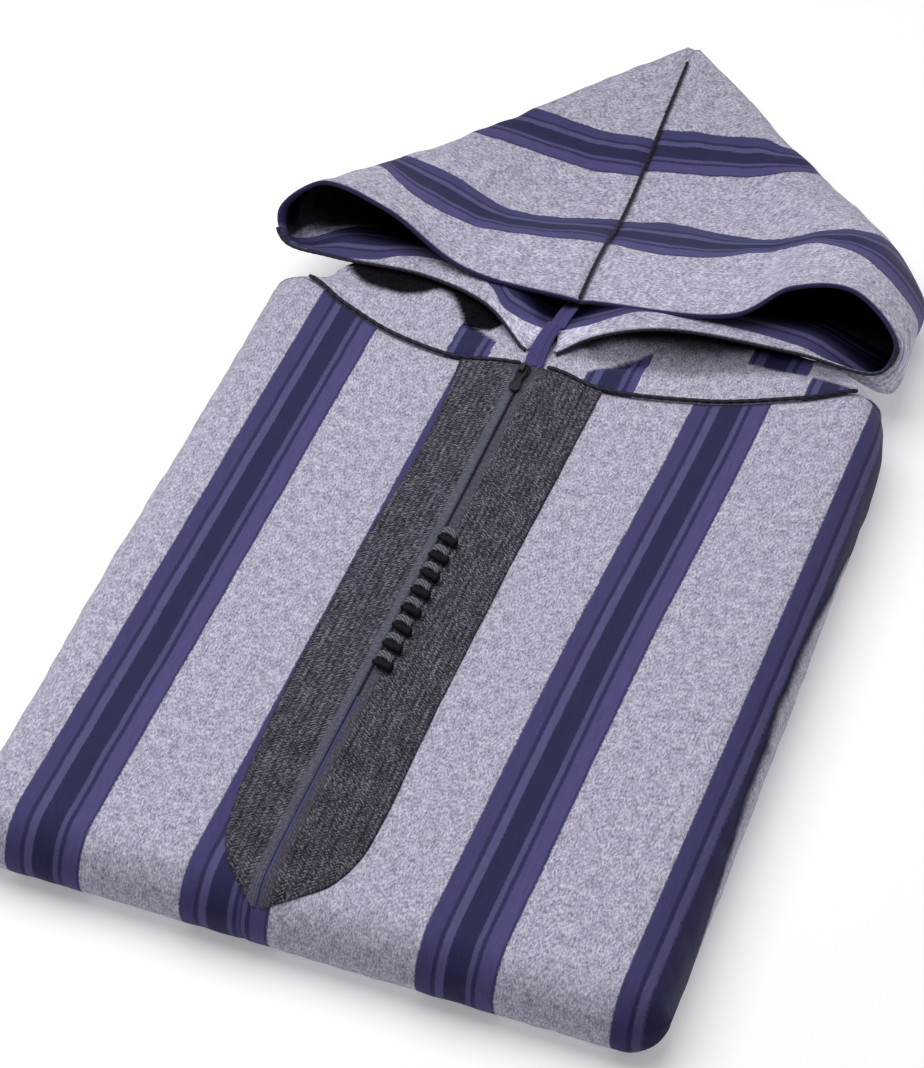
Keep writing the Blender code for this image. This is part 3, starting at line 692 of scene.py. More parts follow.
@dataclass(frozen=True)
class PacketForm:
    """The folded packet's outer surface, which every panel lies on."""

    thick: float = 50.0
    fold_y: float = -421.0
    side_radius: float = 24.0
    side_power: float = 2.3
    sides: dict[Side, Table] = by_side(
        # how far up the packet, reach across
        left=Table((-421, -175.2), (-343, -176), (-243, -178.2), (-97, -179.8), (-19, -181),
                   (45, -182), (75, -178)),
        right=Table((-421, 236), (-268, 232.6), (-104, 228.2), (0, 224.8), (30, 219.5),
                    (46, 214), (58, 210), (75, 207.5), (100, 207.5)),
    )
    end_edge: Table = Table(
        # x, how far back the far end stops
        (-200, 46), (-182, 48), (-170, 52), (-158, 61), (-146, 74), (-125, 88), (-90, 94), (-45, 90),
        (40, 90), (100, 96), (150, 94), (175, 87), (195, 76), (207, 70), (240, 70),
    )
    end_full: Table = Table(
        # x, power of the end's rounding
        (-200, 0.55), (-80, 0.55), (-45, 0.8), (-28, 1), (26, 1), (50, 0.8), (80, 0.55), (240, 0.55),
    )
    end_draw: Table = Table(
        # degrees round the end, how far its sides draw in
        (0, 0), (10, 8), (20, 13.5), (42, 21), (60, 26), (90, 34),
    )
    end_foot: float = 4.0
    seam_x: float = -2.0
    side_wrap: float = 112.0
    fold_side_wrap: float = 88.0
    fold_wrap: float = 172.0
    shoulder_seam: Table = Table(
        # x, y
        (-200, 36), (-175, 38), (-161, 39), (-127, 22), (-83, 5), (-48, 0), (-12, 7), (15, 10),
        (49, 3), (110, 14), (167, 38), (204, 58), (240, 60),
    )

    @property
    def fold_radius(self) -> float:
        """The bottom fold's radius, half the packet's thickness."""
        return self.thick / 2

    def side_extreme(self, side: Side, y: Grid) -> Grid:
        """How far across the packet's side reaches at y."""
        return self.sides[side].smooth(y)

    def columns(self, side: Side, flat_step: float, round_steps: int) -> Columns:
        """The lines along a panel, so far apart on the flat top and so many round the side."""
        width = abs(self.side_extreme(side, np.array(0.0)) - self.seam_x) - self.side_radius
        return Columns.across(side, self.side_wrap, round(width / flat_step), round_steps)

    def section(self, stretch: Stretch, value: Grid, x: Grid, inset: float, shift: float) -> tuple:
        """The cloth's place over x on one stretch.

        Args:
            stretch: The fold, the flat top or the far end.
            value: Degrees round the fold or the end, or a share of the way up the top.
            x: Places across.
            inset: How far inside the packet's outside.
            shift: How far the cloth stops from the shoulder seam.

        Returns:
            Centre y and z, radius, direction y and z, and how far the side draws in.
        """
        seam, half = self.shoulder_seam.smooth(x), self.fold_radius
        if stretch is Stretch.FOLD:
            turn = np.radians(value)
            return self.fold_y, half, half - inset, -np.sin(turn), np.cos(turn), 0.0
        if stretch is Stretch.TOP:
            y = self.fold_y + value * (seam + shift - self.fold_y)
            return y, half, half - inset, 0.0, 1.0, 0.0
        turn = np.radians(value)
        reach = self.end_edge.smooth(x) - seam
        y = seam + shift + (reach - shift - inset) * np.sin(turn)
        full = np.cos(turn) ** self.end_full.smooth(x)
        height = self.end_foot + (self.thick - self.end_foot) * full
        inner = self.end_foot + (self.thick - self.end_foot - inset) * full
        return y, height / 2, inner - height / 2, 0.0, 1.0, self.end_draw.smooth(value)

    def drawn_in(self, x: Grid, side: Side, draw: Grid) -> Grid:
        """A place across, where the far end narrows towards the middle seam."""
        edge = self.side_extreme(side, np.array(0.0)) - side.sign * self.side_radius
        return self.seam_x + (x - self.seam_x) * (1 - draw / abs(edge - self.seam_x))

    def grid(self, stretch: Stretch, values: Grid, columns: Columns, inset: float, shift: float) -> Grid:
        """The cloth's points through rows and columns.

        Args:
            stretch: The stretch that the rows lie on.
            values: One number a row, as section reads it.
            columns: The lines along the panel.
            inset: How far inside the packet's outside.
            shift: How far the cloth stops from the shoulder seam.

        Returns:
            The grid of points in millimetres.
        """
        sign = columns.side.sign
        rows = np.asarray(values, float)[:, None]
        middle_y = self.section(stretch, rows, np.full_like(rows, sign * 180.0), 0.0, 0.0)[0]
        flat_edge = self.side_extreme(columns.side, middle_y) - sign * self.side_radius
        inner = self.seam_x + sign * SEAM_GAP / 2
        x = inner + (flat_edge - inner) * columns.share[None, :]
        wrap = self.fold_side_wrap / self.side_wrap if stretch is Stretch.FOLD else 1.0
        turn = np.radians(columns.angle * wrap)[None, :]
        widest = sign * self.side_radius * np.sin(np.minimum(turn, math.pi / 2)) ** (2 / self.side_power)
        y, z, radius, dy, dz, draw = self.section(stretch, rows, x + widest, inset, shift)
        across = (self.side_radius - inset) * power(np.sin(turn), 2 / self.side_power)
        up = radius * power(np.cos(turn), 2 / self.side_power)
        x = self.drawn_in(x, columns.side, draw) + sign * across
        return stacked(x, y + up * dy, z + up * dz)

    def over(self, x: Grid, along: Grid, rise: Grid) -> Grid:
        """Points at a height over the front, for places across and along the cloth."""
        turn = np.clip((self.fold_y - along) / self.fold_radius, 0.0, None)
        reach = self.fold_radius + rise
        y = np.maximum(along, self.fold_y) - reach * np.sin(turn)
        z = self.fold_radius + reach * np.cos(turn)
        return stacked(x, y, z)


PACKET = PacketForm()


def cloth_places(grid: Grid, side: Side, start_x: float) -> tuple[Grid, Grid]:
    """Places across and along the cloth, measured over its grid.

    Args:
        grid: The cloth's points, with columns running out from the middle seam.
        side: The cloth's side.
        start_x: The place across in the first column.

    Returns:
        Places across, and places along from the last row.
    """
    steps = np.linalg.norm(np.diff(grid[..., ::2], axis=1), axis=2)
    u = start_x + side.sign * np.pad(np.cumsum(steps, axis=1), ((0, 0), (1, 0)))
    steps = np.linalg.norm(np.diff(grid[:, :1], axis=0), axis=2)
    v = np.pad(np.cumsum(steps, axis=0), ((1, 0), (0, 0)))
    return u, np.broadcast_to(v - v[-1], u.shape)


def settle(piece: bpy.types.Object, slot: str, *nodes: str, body: str = GARMENT) -> bpy.types.Object:
    """Rides a piece on its body, and hides the nodes that it stands for."""
    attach(piece, body)
    if nodes:
        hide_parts(*nodes)
    log.info("%s: %d points", piece.name, len(piece.data.vertices))
    return piece


def striped(name: str, outer: Grid, inner: Grid, wool: bpy.types.Material,
            cloth: tuple[Grid, Grid], tone: tuple[Grid, Grid]) -> bpy.types.Object:
    """A panel of striped cloth between two grids, settled on the node of its name.

    Args:
        name: The node's name.
        outer: The outside's points, row by row.
        inner: The inside's points, in the same rows and columns.
        wool: The striped wool.
        cloth: The places in the stripes' repeat and on the cloth, outside and inside.
        tone: The facing, the light and the plain grey, outside and inside.

    Returns:
        The panel.
    """
    piece = shell(name + "_cloth", outer, inner, [wool], {"cloth": cloth, "tone": tone})
    return settle(piece, "striped_cloth", name)


@dataclass
class Studio:
    """The camera, the pale floor and the soft light."""

    camera_at: tuple[float, float, float] = (0.54078, -1.58686, 1.60579)
    azimuth: float = 20.48
    elevation: float = 44.85
    focal: float = 126.13
    floor_half: float = 6.0
    glow: float = 0.24
    sky: float = 0.27
    key_at: tuple[float, float, float] = (-0.42, -0.05, 1.7)
    key_size: float = 1.7
    key_watts: float = 25.0

    def build(self) -> None:
        """Places the camera, the floor and the lights."""
        scene = bpy.context.scene
        data = bpy.data.cameras.new("camera")
        data.lens = self.focal
        data.sensor_width = 36.0
        data.clip_start, data.clip_end = 0.05, 50.0
        camera = bpy.data.objects.new("camera", data)
        scene.collection.objects.link(camera)
        a, e = math.radians(self.azimuth), math.radians(self.elevation)
        back = Vector((math.sin(a) * math.cos(e), -math.cos(a) * math.cos(e), math.sin(e)))
        camera.location = self.camera_at
        camera.rotation_mode = "QUATERNION"
        camera.rotation_quaternion = (-back).to_track_quat("-Z", "Y")
        scene.camera = camera
        scene.view_settings.view_transform = "Standard"

        half = self.floor_half
        mesh = bpy.data.meshes.new("floor")
        mesh.from_pydata([(-half, -half, 0), (half, -half, 0), (half, half, 0), (-half, half, 0)],
                         [], [(0, 1, 2, 3)])
        shader = Shader("floor", roughness=0.95)
        shader.surface.inputs["Base Color"].default_value = (0.95, 0.95, 0.95, 1.0)
        shader.surface.inputs["Emission Color"].default_value = (1.0, 1.0, 1.0, 1.0)
        shader.surface.inputs["Emission Strength"].default_value = self.glow
        mesh.materials.append(shader.material)
        floor = bpy.data.objects.new("floor", mesh)
        scene.collection.objects.link(floor)

        world = bpy.data.worlds.new("studio")
        world.use_nodes = True
        sky = world.node_tree.nodes["Background"]
        sky.inputs[0].default_value = (1.0, 1.0, 1.0, 1.0)
        sky.inputs[1].default_value = self.sky
        scene.world = world
        self.light("key", self.key_at, self.key_size, self.key_watts)
        log.info("camera, floor and lights")

    def light(self, name: str, place: Sequence[float], size: float, power_watts: float) -> None:
        """A square soft light that looks at the middle of the garment."""
        data = bpy.data.lights.new(name, "AREA")
        data.size = size
        data.energy = power_watts
        lamp = bpy.data.objects.new(name, data)
        lamp.location = place
        lamp.rotation_mode = "QUATERNION"
        lamp.rotation_quaternion = (Vector((0, 0, 0)) - Vector(place)).to_track_quat("-Z", "Y")
        bpy.context.scene.collection.objects.link(lamp)


@dataclass
class Fronts:
    """The two front panels, from the shoulder seams down over the bottom fold."""

    finishes: Finishes
    fold_steps: int = 34
    top_steps: int = 150
    round_steps: int = 24
    flat_step: float = 2.8
    fold_shade: float = 0.3
    seam_dip: float = 1.1
    seam_reach: float = 2.6
    layers_from: float = 180.0
    round_from: float = 203.0
    stripes: dict[Side, Table] = by_side(
        # across the cloth, place in the stripes' repeat
        left=Table((-260, -217.3), (-145, -102.3), (-100.2, -58.3), (-40.6, 0), (-2, 38.6)),
        right=Table((-2, 28), (14, 44), (99.5, 102.3), (144.5, 146.3), (209, 204.6),
                    (225.5, 220.8), (262, 232.5), (300, 232.8)),
    )
    drift: dict[Side, Table] = by_side(
        # along the cloth, how far the stripes lie further out
        left=Table((-421, 2.5), (0, 0)),
        right=Table((-421, -0.8), (-240, 0), (-190, 0.8), (-140, 2.6), (-90, 4.2), (-20, 6.2),
                    (60, 6.6)),
    )
    drift_ends: Table = Table((-300, 1), (0, 1), (150, 1), (205, 0), (300, 0))
    lower_layers: Table = Table(
        # along the cloth, how high the folded layers show on the right side
        (-460, 0), (-402, 0), (-382, 22), (-357, 30), (-324, 34.5), (-291, 38), (-259, 38.5), (-226, 41),
        (-193, 40.5), (-161, 38.5), (-128, 33), (-100, 27), (-80, 12), (-50, 0), (100, 0),
    )
    creases: dict[Side, tuple[Crease | Ripple, ...]] = by_side(
        left=(
            Crease((-150, 20), (-70, -12), 0.9, 9, 4),
            Crease((-176, -20), (-168, -210), -0.9, 12, 5),
            Crease((-120, -60), (-52, -190), 0.6, 20, 12),
            Crease((-165, -260), (-80, -330), -0.55, 22, 9),
            Crease((-60, -240), (-130, -410), 0.6, 24, 10),
            Crease((-190, -150), (-186, -330), 0.9, 8, 3),
            Ripple(11, 0.22),
        ),
        right=(
            Crease((54, -16), (92, 3), -2.2, 1.9, 3),
            Crease((100, 2), (112, -4), -1.5, 2.6, 1),
            Crease((60, -18), (110, -8), 0.9, 7, 3),
            Crease((150, 22), (196, -60), 0.9, 13, 8),
            Crease((80, -80), (150, -230), 0.6, 24, 14),
            Crease((200, -120), (176, -300), 0.8, 16, 6),
            Crease((70, -300), (130, -400), -0.6, 22, 8),
            Crease((230, -60), (228, -260), 1.0, 8, 2),
            Ripple(23, 0.22),
        ),
    )

    def rows(self) -> list[tuple[Stretch, Grid]]:
        """The rows of a panel, under the fold first."""
        fold = np.linspace(PACKET.fold_wrap, 0.0, self.fold_steps)
        top = np.linspace(0.0, 1.0, self.top_steps + 1)[1:]
        return [(Stretch.FOLD, fold), (Stretch.TOP, top)]

    def points(self, columns: Columns, inset: float, shift: float) -> Grid:
        """A panel's points, so far inside the packet's outside."""
        return np.concatenate([
            PACKET.grid(stretch, values, columns, inset, shift) for stretch, values in self.rows()
        ])

    def build(self) -> None:
        """Makes both panels."""
        for side in Side:
            self.panel(side)

    def panel(self, side: Side) -> None:
        """Makes one front panel with its seams, creases and stripes."""
        columns = PACKET.columns(side, self.flat_step, self.round_steps)
        outer = self.points(columns, 0.0, -SEAM_GAP / 2)
        u, v = cloth_places(outer, side, PACKET.seam_x)
        v = v + outer[-1, 0, 1]
        from_end = np.linalg.norm(outer - outer[-1][None], axis=2)
        middle = np.abs(u - PACKET.seam_x)
        rise = uneven(self.creases[side], u, v)
        top = np.minimum(outer[..., 2] / PACKET.thick, 1.0)
        fade = unit(middle / 30.0) * np.clip(from_end / 12.0, 0.15, 1.0)
        rise = rise * fade * np.where(top > 0.15, 1.0, 0.0)
        dip = self.seam_dip * (np.exp(-((from_end / self.seam_reach) ** 2))
                               + 0.6 * np.exp(-((middle / self.seam_reach) ** 2)))
        normal = grid_normals(outer) * -side.sign
        inner = self.points(columns, CLOTH, -SEAM_GAP / 2) + normal * np.minimum(rise, 0.0)[..., None]
        outer = outer + normal * (rise - dip)[..., None]
        drift = self.drift[side].smooth(v) * self.drift_ends.straight(u)
        mark = np.stack([self.stripes[side].straight(u - drift), u, v], axis=2)
        # painted shade on the bottom fold's front face
        dark = 1 - self.fold_shade * unit((PACKET.fold_y - 8.0 - v) / 22.0)
        plain = 0.0
        if side is Side.LEFT:
            # painted shade towards the left panel's top left corner
            dark -= 0.08 * unit((-u - 120) / 50) * unit((v + 150) / 120)
        else:
            high = self.lower_layers.smooth(v)
            below = high - outer[..., 2]
            shown = (high > 2) * (u > self.layers_from)
            plain = unit(below / 2.5 + 0.5) * shown
            # painted shade: a dark line where the panel's edge meets the layers below, and the grey
            # layers darker
            dark -= (0.45 * np.exp(-((below / 3.0) ** 2)) + 0.1 * plain) * shown
            # painted shade round the right side
            dark -= 0.14 * unit((u - self.round_from) / 8) * (1 - plain)
        tone = stacked(0.0, dark, plain)
        name = "front_" + side.word
        piece = striped(name, outer, inner, self.finishes.wool, (mark, mark), (tone, tone))


@dataclass
class Shoulders:
    """The back's shoulder ends, from the shoulder seams over the far end of the packet."""

    finishes: Finishes
    round_steps: int = 22
    flat_step: float = 1.5
    seam_dip: float = 1.1
    seam_reach: float = 2.6
    stripes: dict[Side, Table] = by_side(
        # across the cloth, place in the stripes' repeat
        left=Table((-260, -58), (-52, -1), (-51, 13), (-27.5, 36), (-26.5, 46), (0, 60)),
        right=Table((-2, -32), (36, -2), (38, 9), (67, 37), (69, 46), (125, 98), (127, 112),
                    (163, 142), (164.5, 148.5), (167, 203), (168.5, 214), (190, 238), (192, 252),
                    (300, 300)),
    )
    fold_line: dict[Side, Table] = by_side(
        # across, how far back the folds in the neck change the stripes that show
        left=Table((-260, 120), (-64, 120), (-56, 37), (-50, 37), (-42, 33), (-27, 25.5), (0, 20)),
        right=Table((-2, 14), (34, 16), (38.5, 19), (43.4, 24), (52, 32.5), (62, 41), (70, 52),
                    (80, 60), (120, 62), (240, 62)),
    )
    # across, strength of the painted shade along the fold line
    fold_line_shade: Table = Table((-260, 0), (30, 0), (38, 0.5), (64, 0.5), (78, 0), (240, 0))
    shadow_from: dict[Side, Table] = by_side(
        # across, how far back the hood's shadow begins
        left=Table((-200, 90), (-150, 68), (-138, 58), (-118, 47), (-102, 45.5), (-87, 51),
                   (-76, 57), (-67, 54.5), (-57, 43), (-48, 31), (-36, 33), (-22, 60), (0, 60)),
        right=Table((-2, 18), (34, 29), (66, 30), (91, 33), (114, 42), (132, 52), (162, 61),
                    (183, 66), (198, 76), (215, 90)),
    )
    shadow: dict[Side, Table] = by_side(
        # how far into the shadow, how much light is left
        left=Table((-2.5, 1), (2.5, 0.02), (40, 0.01)),
        right=Table((-4, 1), (5, 0.5), (17, 0.32), (32, 0.06), (60, 0.03)),
    )
    first_turn: float = 77.5
    flat_rows: int = 46
    steep_rows: int = 22
    steep_span: tuple[float, float] = (0.0736, 0.4)
    steep_power: float = 1.8
    unfolded: tuple[float, float] = (97.0, 165.5)
    swell_top: Table = Table(
        # how far back, height of the swelling under the hood's edge
        (44, 49), (55, 47.3), (66, 46.5), (76, 45), (86, 42.5), (96, 39.5), (106, 36), (120, 30),
    )
    swell_across: dict[Side, Table] = by_side(
        # across, share of the swelling's height
        left=Table((-190, 0), (-184, 0), (-170, 1), (-50, 1), (-30, 0), (0, 0)),
        right=Table((0, 0), (22, 0), (40, 1), (196, 1), (210, 0.4), (230, 0)),
    )
    swell_back: dict[Side, Table] = by_side(
        # across, how far back the swelling pushes the cloth
        left=Table((-190, 0), (-180, 0), (-166, 7), (-148, 9), (-120, 7), (-90, 2), (0, 0)),
        right=Table((0, 0), (150, 0), (170, 6), (186, 10), (200, 9), (212, 2), (230, 0)),
    )
    swell_out: dict[Side, Table] = by_side(
        # across, how far out the swelling pushes the cloth
        left=Table((-200, 13), (-140, 13), (-115, 6), (-90, 0), (0, 0)),
        right=Table((0, 0), (240, 0)),
    )
    creases: dict[Side, tuple[Crease | Ripple, ...]] = by_side(
        left=(
            Crease((-140, 40), (-60, 22), 1.0, 9, 4),
            Crease((-95, 30), (-62, 14), -1.4, 5, 2),
            Crease((-150, 58), (-100, 30), -1.0, 6, 3),
            Crease((-120, 70), (-40, 60), 1.3, 9, -4),
            Ripple(30, 0.3),
        ),
        right=(
            Crease((30, 22), (82, 52), -2.4, 3.2, -4),
            Crease((36, 16), (100, 34), 1.2, 7, 3),
            Crease((96, 40), (180, 62), 1.1, 9, -4),
            Crease((60, 60), (150, 74), -1.2, 8, 3),
            Ripple(32, 0.3),
        ),
    )

    def build(self) -> None:
        """Makes both shoulder ends."""
        for side in Side:
            self.panel(side)

    def swollen(self, grid: Grid, side: Side, inset: float) -> Grid:
        """The end's cloth, raised and pushed back where it swells up under the hood's edge.

        Args:
            grid: The cloth's points.
            side: The cloth's side.
            inset: How far inside the outside the points lie.

        Returns:
            The moved points.
        """
        x, y, z = grid[..., 0], grid[..., 1], grid[..., 2]
        lift = np.maximum(self.swell_top.straight(y) - inset - z, 0.0)
        lift = lift * self.swell_across[side].smooth(x) * unit((y - 43) / 12)
        lift = lift * unit((z - 8) / 12)
        free = unit((z - 4) / 8)
        push = self.swell_back[side].smooth(x) * unit((y - 58) / 14) * free
        out = self.swell_out[side].smooth(x) * unit((y - 46) / 14) * free
        return grid + np.stack([side.sign * out, push, lift], axis=2)

    def panel(self, side: Side) -> None:
        """Makes one shoulder end with its folds and stripes."""
        columns = PACKET.columns(side, self.flat_step, self.round_steps)
        steep = np.linspace(*self.steep_span, self.steep_rows) ** self.steep_power
        flat = np.linspace(self.first_turn, 0.0, self.flat_rows)
        turns = np.concatenate([np.degrees(np.arccos(steep)), flat])
        outer = self.swollen(PACKET.grid(Stretch.END, turns, columns, 0.0, SEAM_GAP / 2), side, 0.0)
        u, v = cloth_places(outer, side, PACKET.seam_x)
        y = outer[..., 1]
        from_seam = np.linalg.norm(outer - outer[-1][None], axis=2)
        rise = uneven(self.creases[side], outer[..., 0], y)
        keep = unit(from_seam / 10.0) * (outer[..., 2] > 6.0) * unit(np.abs(u - PACKET.seam_x) / 20.0)
        dip = self.seam_dip * np.exp(-((from_seam / self.seam_reach) ** 2))
        normal = grid_normals(outer) * side.sign
        rise = rise * keep
        inner = self.swollen(PACKET.grid(Stretch.END, turns, columns, CLOTH, SEAM_GAP / 2), side, CLOTH)
        inner = inner + normal * np.minimum(rise, 0.0)[..., None]
        outer = outer + normal * (rise - dip)[..., None]
        x = outer[..., 0]
        mark = np.stack([self.stripes[side].straight(x), u, v], axis=2)
        # painted shadow of the hood on the end, then painted shade along the fold line
        dark = self.shadow[side].straight(y - self.shadow_from[side].smooth(x))
        beyond = y - self.fold_line[side].straight(x)
        dark *= 1 - self.fold_line_shade.straight(x) * np.exp(-((beyond / 1.5) ** 2))
        plain = unit(beyond / 2 + 0.5)
        plain = np.where((x > self.unfolded[0]) & (x < self.unfolded[1]), 1 - plain, plain)
        tone = stacked(0.0, dark, plain)
        name = "shoulder_" + side.word
        piece = striped(name, outer, inner, self.finishes.wool, (mark, mark), (tone, tone))


@dataclass
class Hood:
    """The hood: two halves seamed over the top and down the back, open at its front edge."""

    finishes: Finishes
    rim_left: tuple = (
        # place, x, y, z
        ("chin", -5, 22, 50), ("neck", -41, 52, 52), ("cheek", -87, 64, 52),
        ("under", -150, 65, 48), ("corner", -184, 66, 51), ("side", -194, 80, 64),
        ("crest", -174, 96, 80), ("brow", -126, 91, 76), ("temple", -65, 72, 59),
        ("forehead", 8, 83, 45),
    )
    rim_right: tuple = (
        ("chin", 14, 24, 50), ("neck", 33, 46, 52), ("cheek", 72, 67, 53),
        ("under", 154, 79, 49), ("corner", 208, 79, 50), ("side", 214, 92, 63),
        ("crest", 176, 114, 80), ("brow", 138, 105, 78), ("temple", 109, 86, 63),
        ("forehead", 8, 83, 45),
    )
    rim_steps: tuple[int, ...] = (3, 3, 3, 4, 4, 4, 4, 4, 4)
    finer: int = 4
    loop_turn: tuple[float, ...] = (0.0, 0.0, 0.0, 0.0, 0.1, 0.5, 1.0, 1.0, 1.0, 1.0)
    point: tuple[float, float, float] = (-18.0, 403.0, 7.0)
    point_half_width: float = 5.0
    forehead_x: float = 8.0
    neck_seam_x: float = 6.0
    neck_join: float = 0.06
    fall_reach: float = 150.0
    fullness: Table = Table(
        # share of the way to the point, extra width left and right
        (0.00, 0.0, 0.0), (0.08, 0.03, 0.08), (0.15, 0.05, 0.155), (0.25, 0.065, 0.26),
        (0.37, 0.075, 0.295), (0.45, 0.095, 0.28), (0.55, 0.106, 0.24), (0.64, 0.1, 0.205),
        (0.73, 0.085, 0.145), (0.83, 0.06, 0.11), (1.00, 0.0, 0.0),
    )
    upper_fall: Table = Table(
        # share of the way to the point, share of the height left: at the seam, left and right
        (0.00, 1.00, 1.00, 1.00), (0.11, 0.89, 0.78, 0.86), (0.21, 0.70, 0.62, 0.75),
        (0.31, 0.41, 0.49, 0.63), (0.40, 0.24, 0.34, 0.48), (0.50, 0.155, 0.22, 0.33),
        (0.62, 0.12, 0.11, 0.19), (0.74, 0.10, 0.06, 0.11), (0.86, 0.05, 0.02, 0.05),
        (1.00, 0.0, 0.0, 0.0),
    )
    roll: dict[Side, tuple] = by_side(
        # how far out and down the outside rolls below its edge at the loop's corner and side
        left=((-3, 0, -4), (0, 0, 0)),
        right=((9, -3, -19), (5, 0, -4)),
    )
    roll_rise: Table = Table(
        # share of the way to the point, share of the roll
        (0, 0), (0.012, 0.75), (0.03, 1), (0.09, 0.9), (0.2, 0.4), (0.35, 0), (1, 0),
    )
    lower_fall: Table = Table(
        # share of the way to the point, share of the height left
        (0.00, 1.00), (0.06, 0.93), (0.11, 0.82), (0.20, 0.52), (0.30, 0.24), (0.40, 0.06),
        (0.48, 0.0), (1.00, 0.0),
    )
    nap_scale: tuple[float, float] = (0.6, 0.95)
    # from the edge, share of painted light on the outside: brighter at the brow, darker towards the point
    outside_light: Table = Table((0, 1.02), (40, 1.07), (90, 1.05), (160, 0.98), (240, 0.93), (400, 0.92))
    hem_rows: tuple[float, ...] = (0.0, 0.0012, 0.003, 0.0055, 0.009, 0.014, 0.020, 0.028)
    rows_from: float = 0.037
    row_count: int = 104
    hem_thick: float = 3.0
    hem_reach: float = 9.0
    facing_reach: float = 24.0
    # from the edge, share of painted light left inside: lower layer, then upper layer
    lower_light: Table = Table((0, 1), (24, 0.95), (34, 0.35), (46, 0.06), (80, 0.03), (500, 0.03))
    upper_light: Table = Table((0, 1), (3, 0.8), (9, 0.12), (20, 0.04), (500, 0.03))
    patch: dict[Side, tuple] = by_side(
        # the soft painted light patch inside: middle, half sizes, lean, brightness
        left=(-164, 101, 11, 4.0, 0.8, 0.42), right=(168, 119, 26, 1.8, -0.2, 0.34))
    # a painted pool of light inside by the neck: middle, half sizes, brightness
    neck_light_patch: tuple[float, ...] = (2, 44, 30, 15, 0.6)
    lower_cluster: dict[Side, tuple[Table, Table]] = by_side(
        # across, how far back: the near and the far edge of the cluster next to the hood's edge
        left=(
            Table((-200, 178), (-152, 150), (-136, 137), (-122, 126), (-104, 121), (-88, 121),
                  (-55, 133), (-25, 145), (2, 158)),
            Table((-200, 200), (-141, 176), (-106, 169), (-74, 161), (-41, 174), (-5, 196)),
        ),
        right=(
            Table((2, 158), (38, 152), (70, 157), (94, 169), (128, 174), (162, 167), (188, 153),
                  (215, 138), (240, 128)),
            Table((-4, 195), (30, 201), (72, 195), (116, 187), (154, 199), (185, 205), (212, 192),
                  (240, 180)),
        ),
    )
    upper_cluster: dict[Side, tuple[Table, Table]] = by_side(
        # the same for the next cluster towards the point
        left=(
            Table((-160, 240), (-88, 241), (-44, 243), (-9, 251)),
            Table((-160, 298), (-92, 293), (-45, 289), (-13, 293)),
        ),
        right=(
            Table((-9, 258), (22, 262), (45, 265), (77, 271), (114, 285), (160, 297)),
            Table((-13, 305), (22, 310), (59, 313), (78, 308), (110, 312), (160, 330)),
        ),
    )
    inner_cluster: dict[Side, tuple[Table, Table]] = by_side(
        # across, how far back: the near and the far edge of the cluster on the lower layer
        left=(
            Table((-200, 58), (-144, 64), (-127, 67), (-110, 78), (-91, 82), (-64, 80), (-46, 68),
                  (-30, 50), (-12, 46), (0, 46)),
            Table((-200, 66), (-174, 80), (-150, 110), (-120, 118), (-60, 118), (-30, 94), (0, 90)),
        ),
        right=(
            Table((0, 46), (10, 49), (24, 56), (34, 66), (50, 79), (68, 82), (100, 85), (126, 86),
                  (156, 84), (180, 79), (220, 76)),
            Table((0, 90), (34, 102), (60, 122), (140, 130), (180, 126), (220, 122)),
        ),
    )
    creases: dict[Side, tuple[Crease | Ripple, ...]] = by_side(
        left=(
            Crease((4, 120), (-60, 108), -1.2, 9, 3),
            Crease((-2, 170), (-50, 150), 1.0, 10, 4),
            Crease((-4, 230), (-70, 214), -1.0, 11, 5),
            Crease((-10, 270), (-60, 262), 0.8, 10, 3),
            Crease((-120, 150), (-70, 230), 0.9, 16, 6),
            Crease((-14, 330), (-50, 318), -0.8, 8, 2),
            Crease((-60, 95), (-120, 110), -1.0, 10, 4),
            Ripple(52, 0.35, 18, 90),
        ),
        right=(
            Crease((6, 125), (70, 122), -1.3, 9, -3),
            Crease((2, 178), (60, 180), 1.0, 10, -4),
            Crease((-2, 236), (80, 232), -1.2, 12, -5),
            Crease((80, 140), (130, 190), 1.2, 14, 6),
            Crease((150, 230), (60, 300), 0.9, 16, 6),
            Crease((-12, 335), (30, 330), -0.8, 8, 2),
            Crease((120, 150), (180, 140), -1.1, 10, 3),
            Ripple(54, 0.35, 18, 90),
        ),
    )

    def rim(self, side: Side) -> tuple[Grid, Grid]:
        """The rim's points on one side, and how far round its loop each lies."""
        table = self.rim_left if side is Side.LEFT else self.rim_right
        steps = [count * self.finer for count in self.rim_steps]
        rim = curve_through([row[1:] for row in table], steps)
        turns = curve_through([(turn, 0.0, 0.0) for turn in self.loop_turn], steps)[:, 0]
        return rim, unit(turns)

    def seam_over(self, share: Grid) -> Grid:
        """Where the hood's top seam lies across, so far from its edge to its point."""
        return self.forehead_x + (self.point[0] - self.forehead_x) * share

    def shares(self) -> Grid:
        """The rows of the hood, closest at its hem."""
        return np.concatenate([self.hem_rows, np.linspace(self.rows_from, 1.0, self.row_count)])

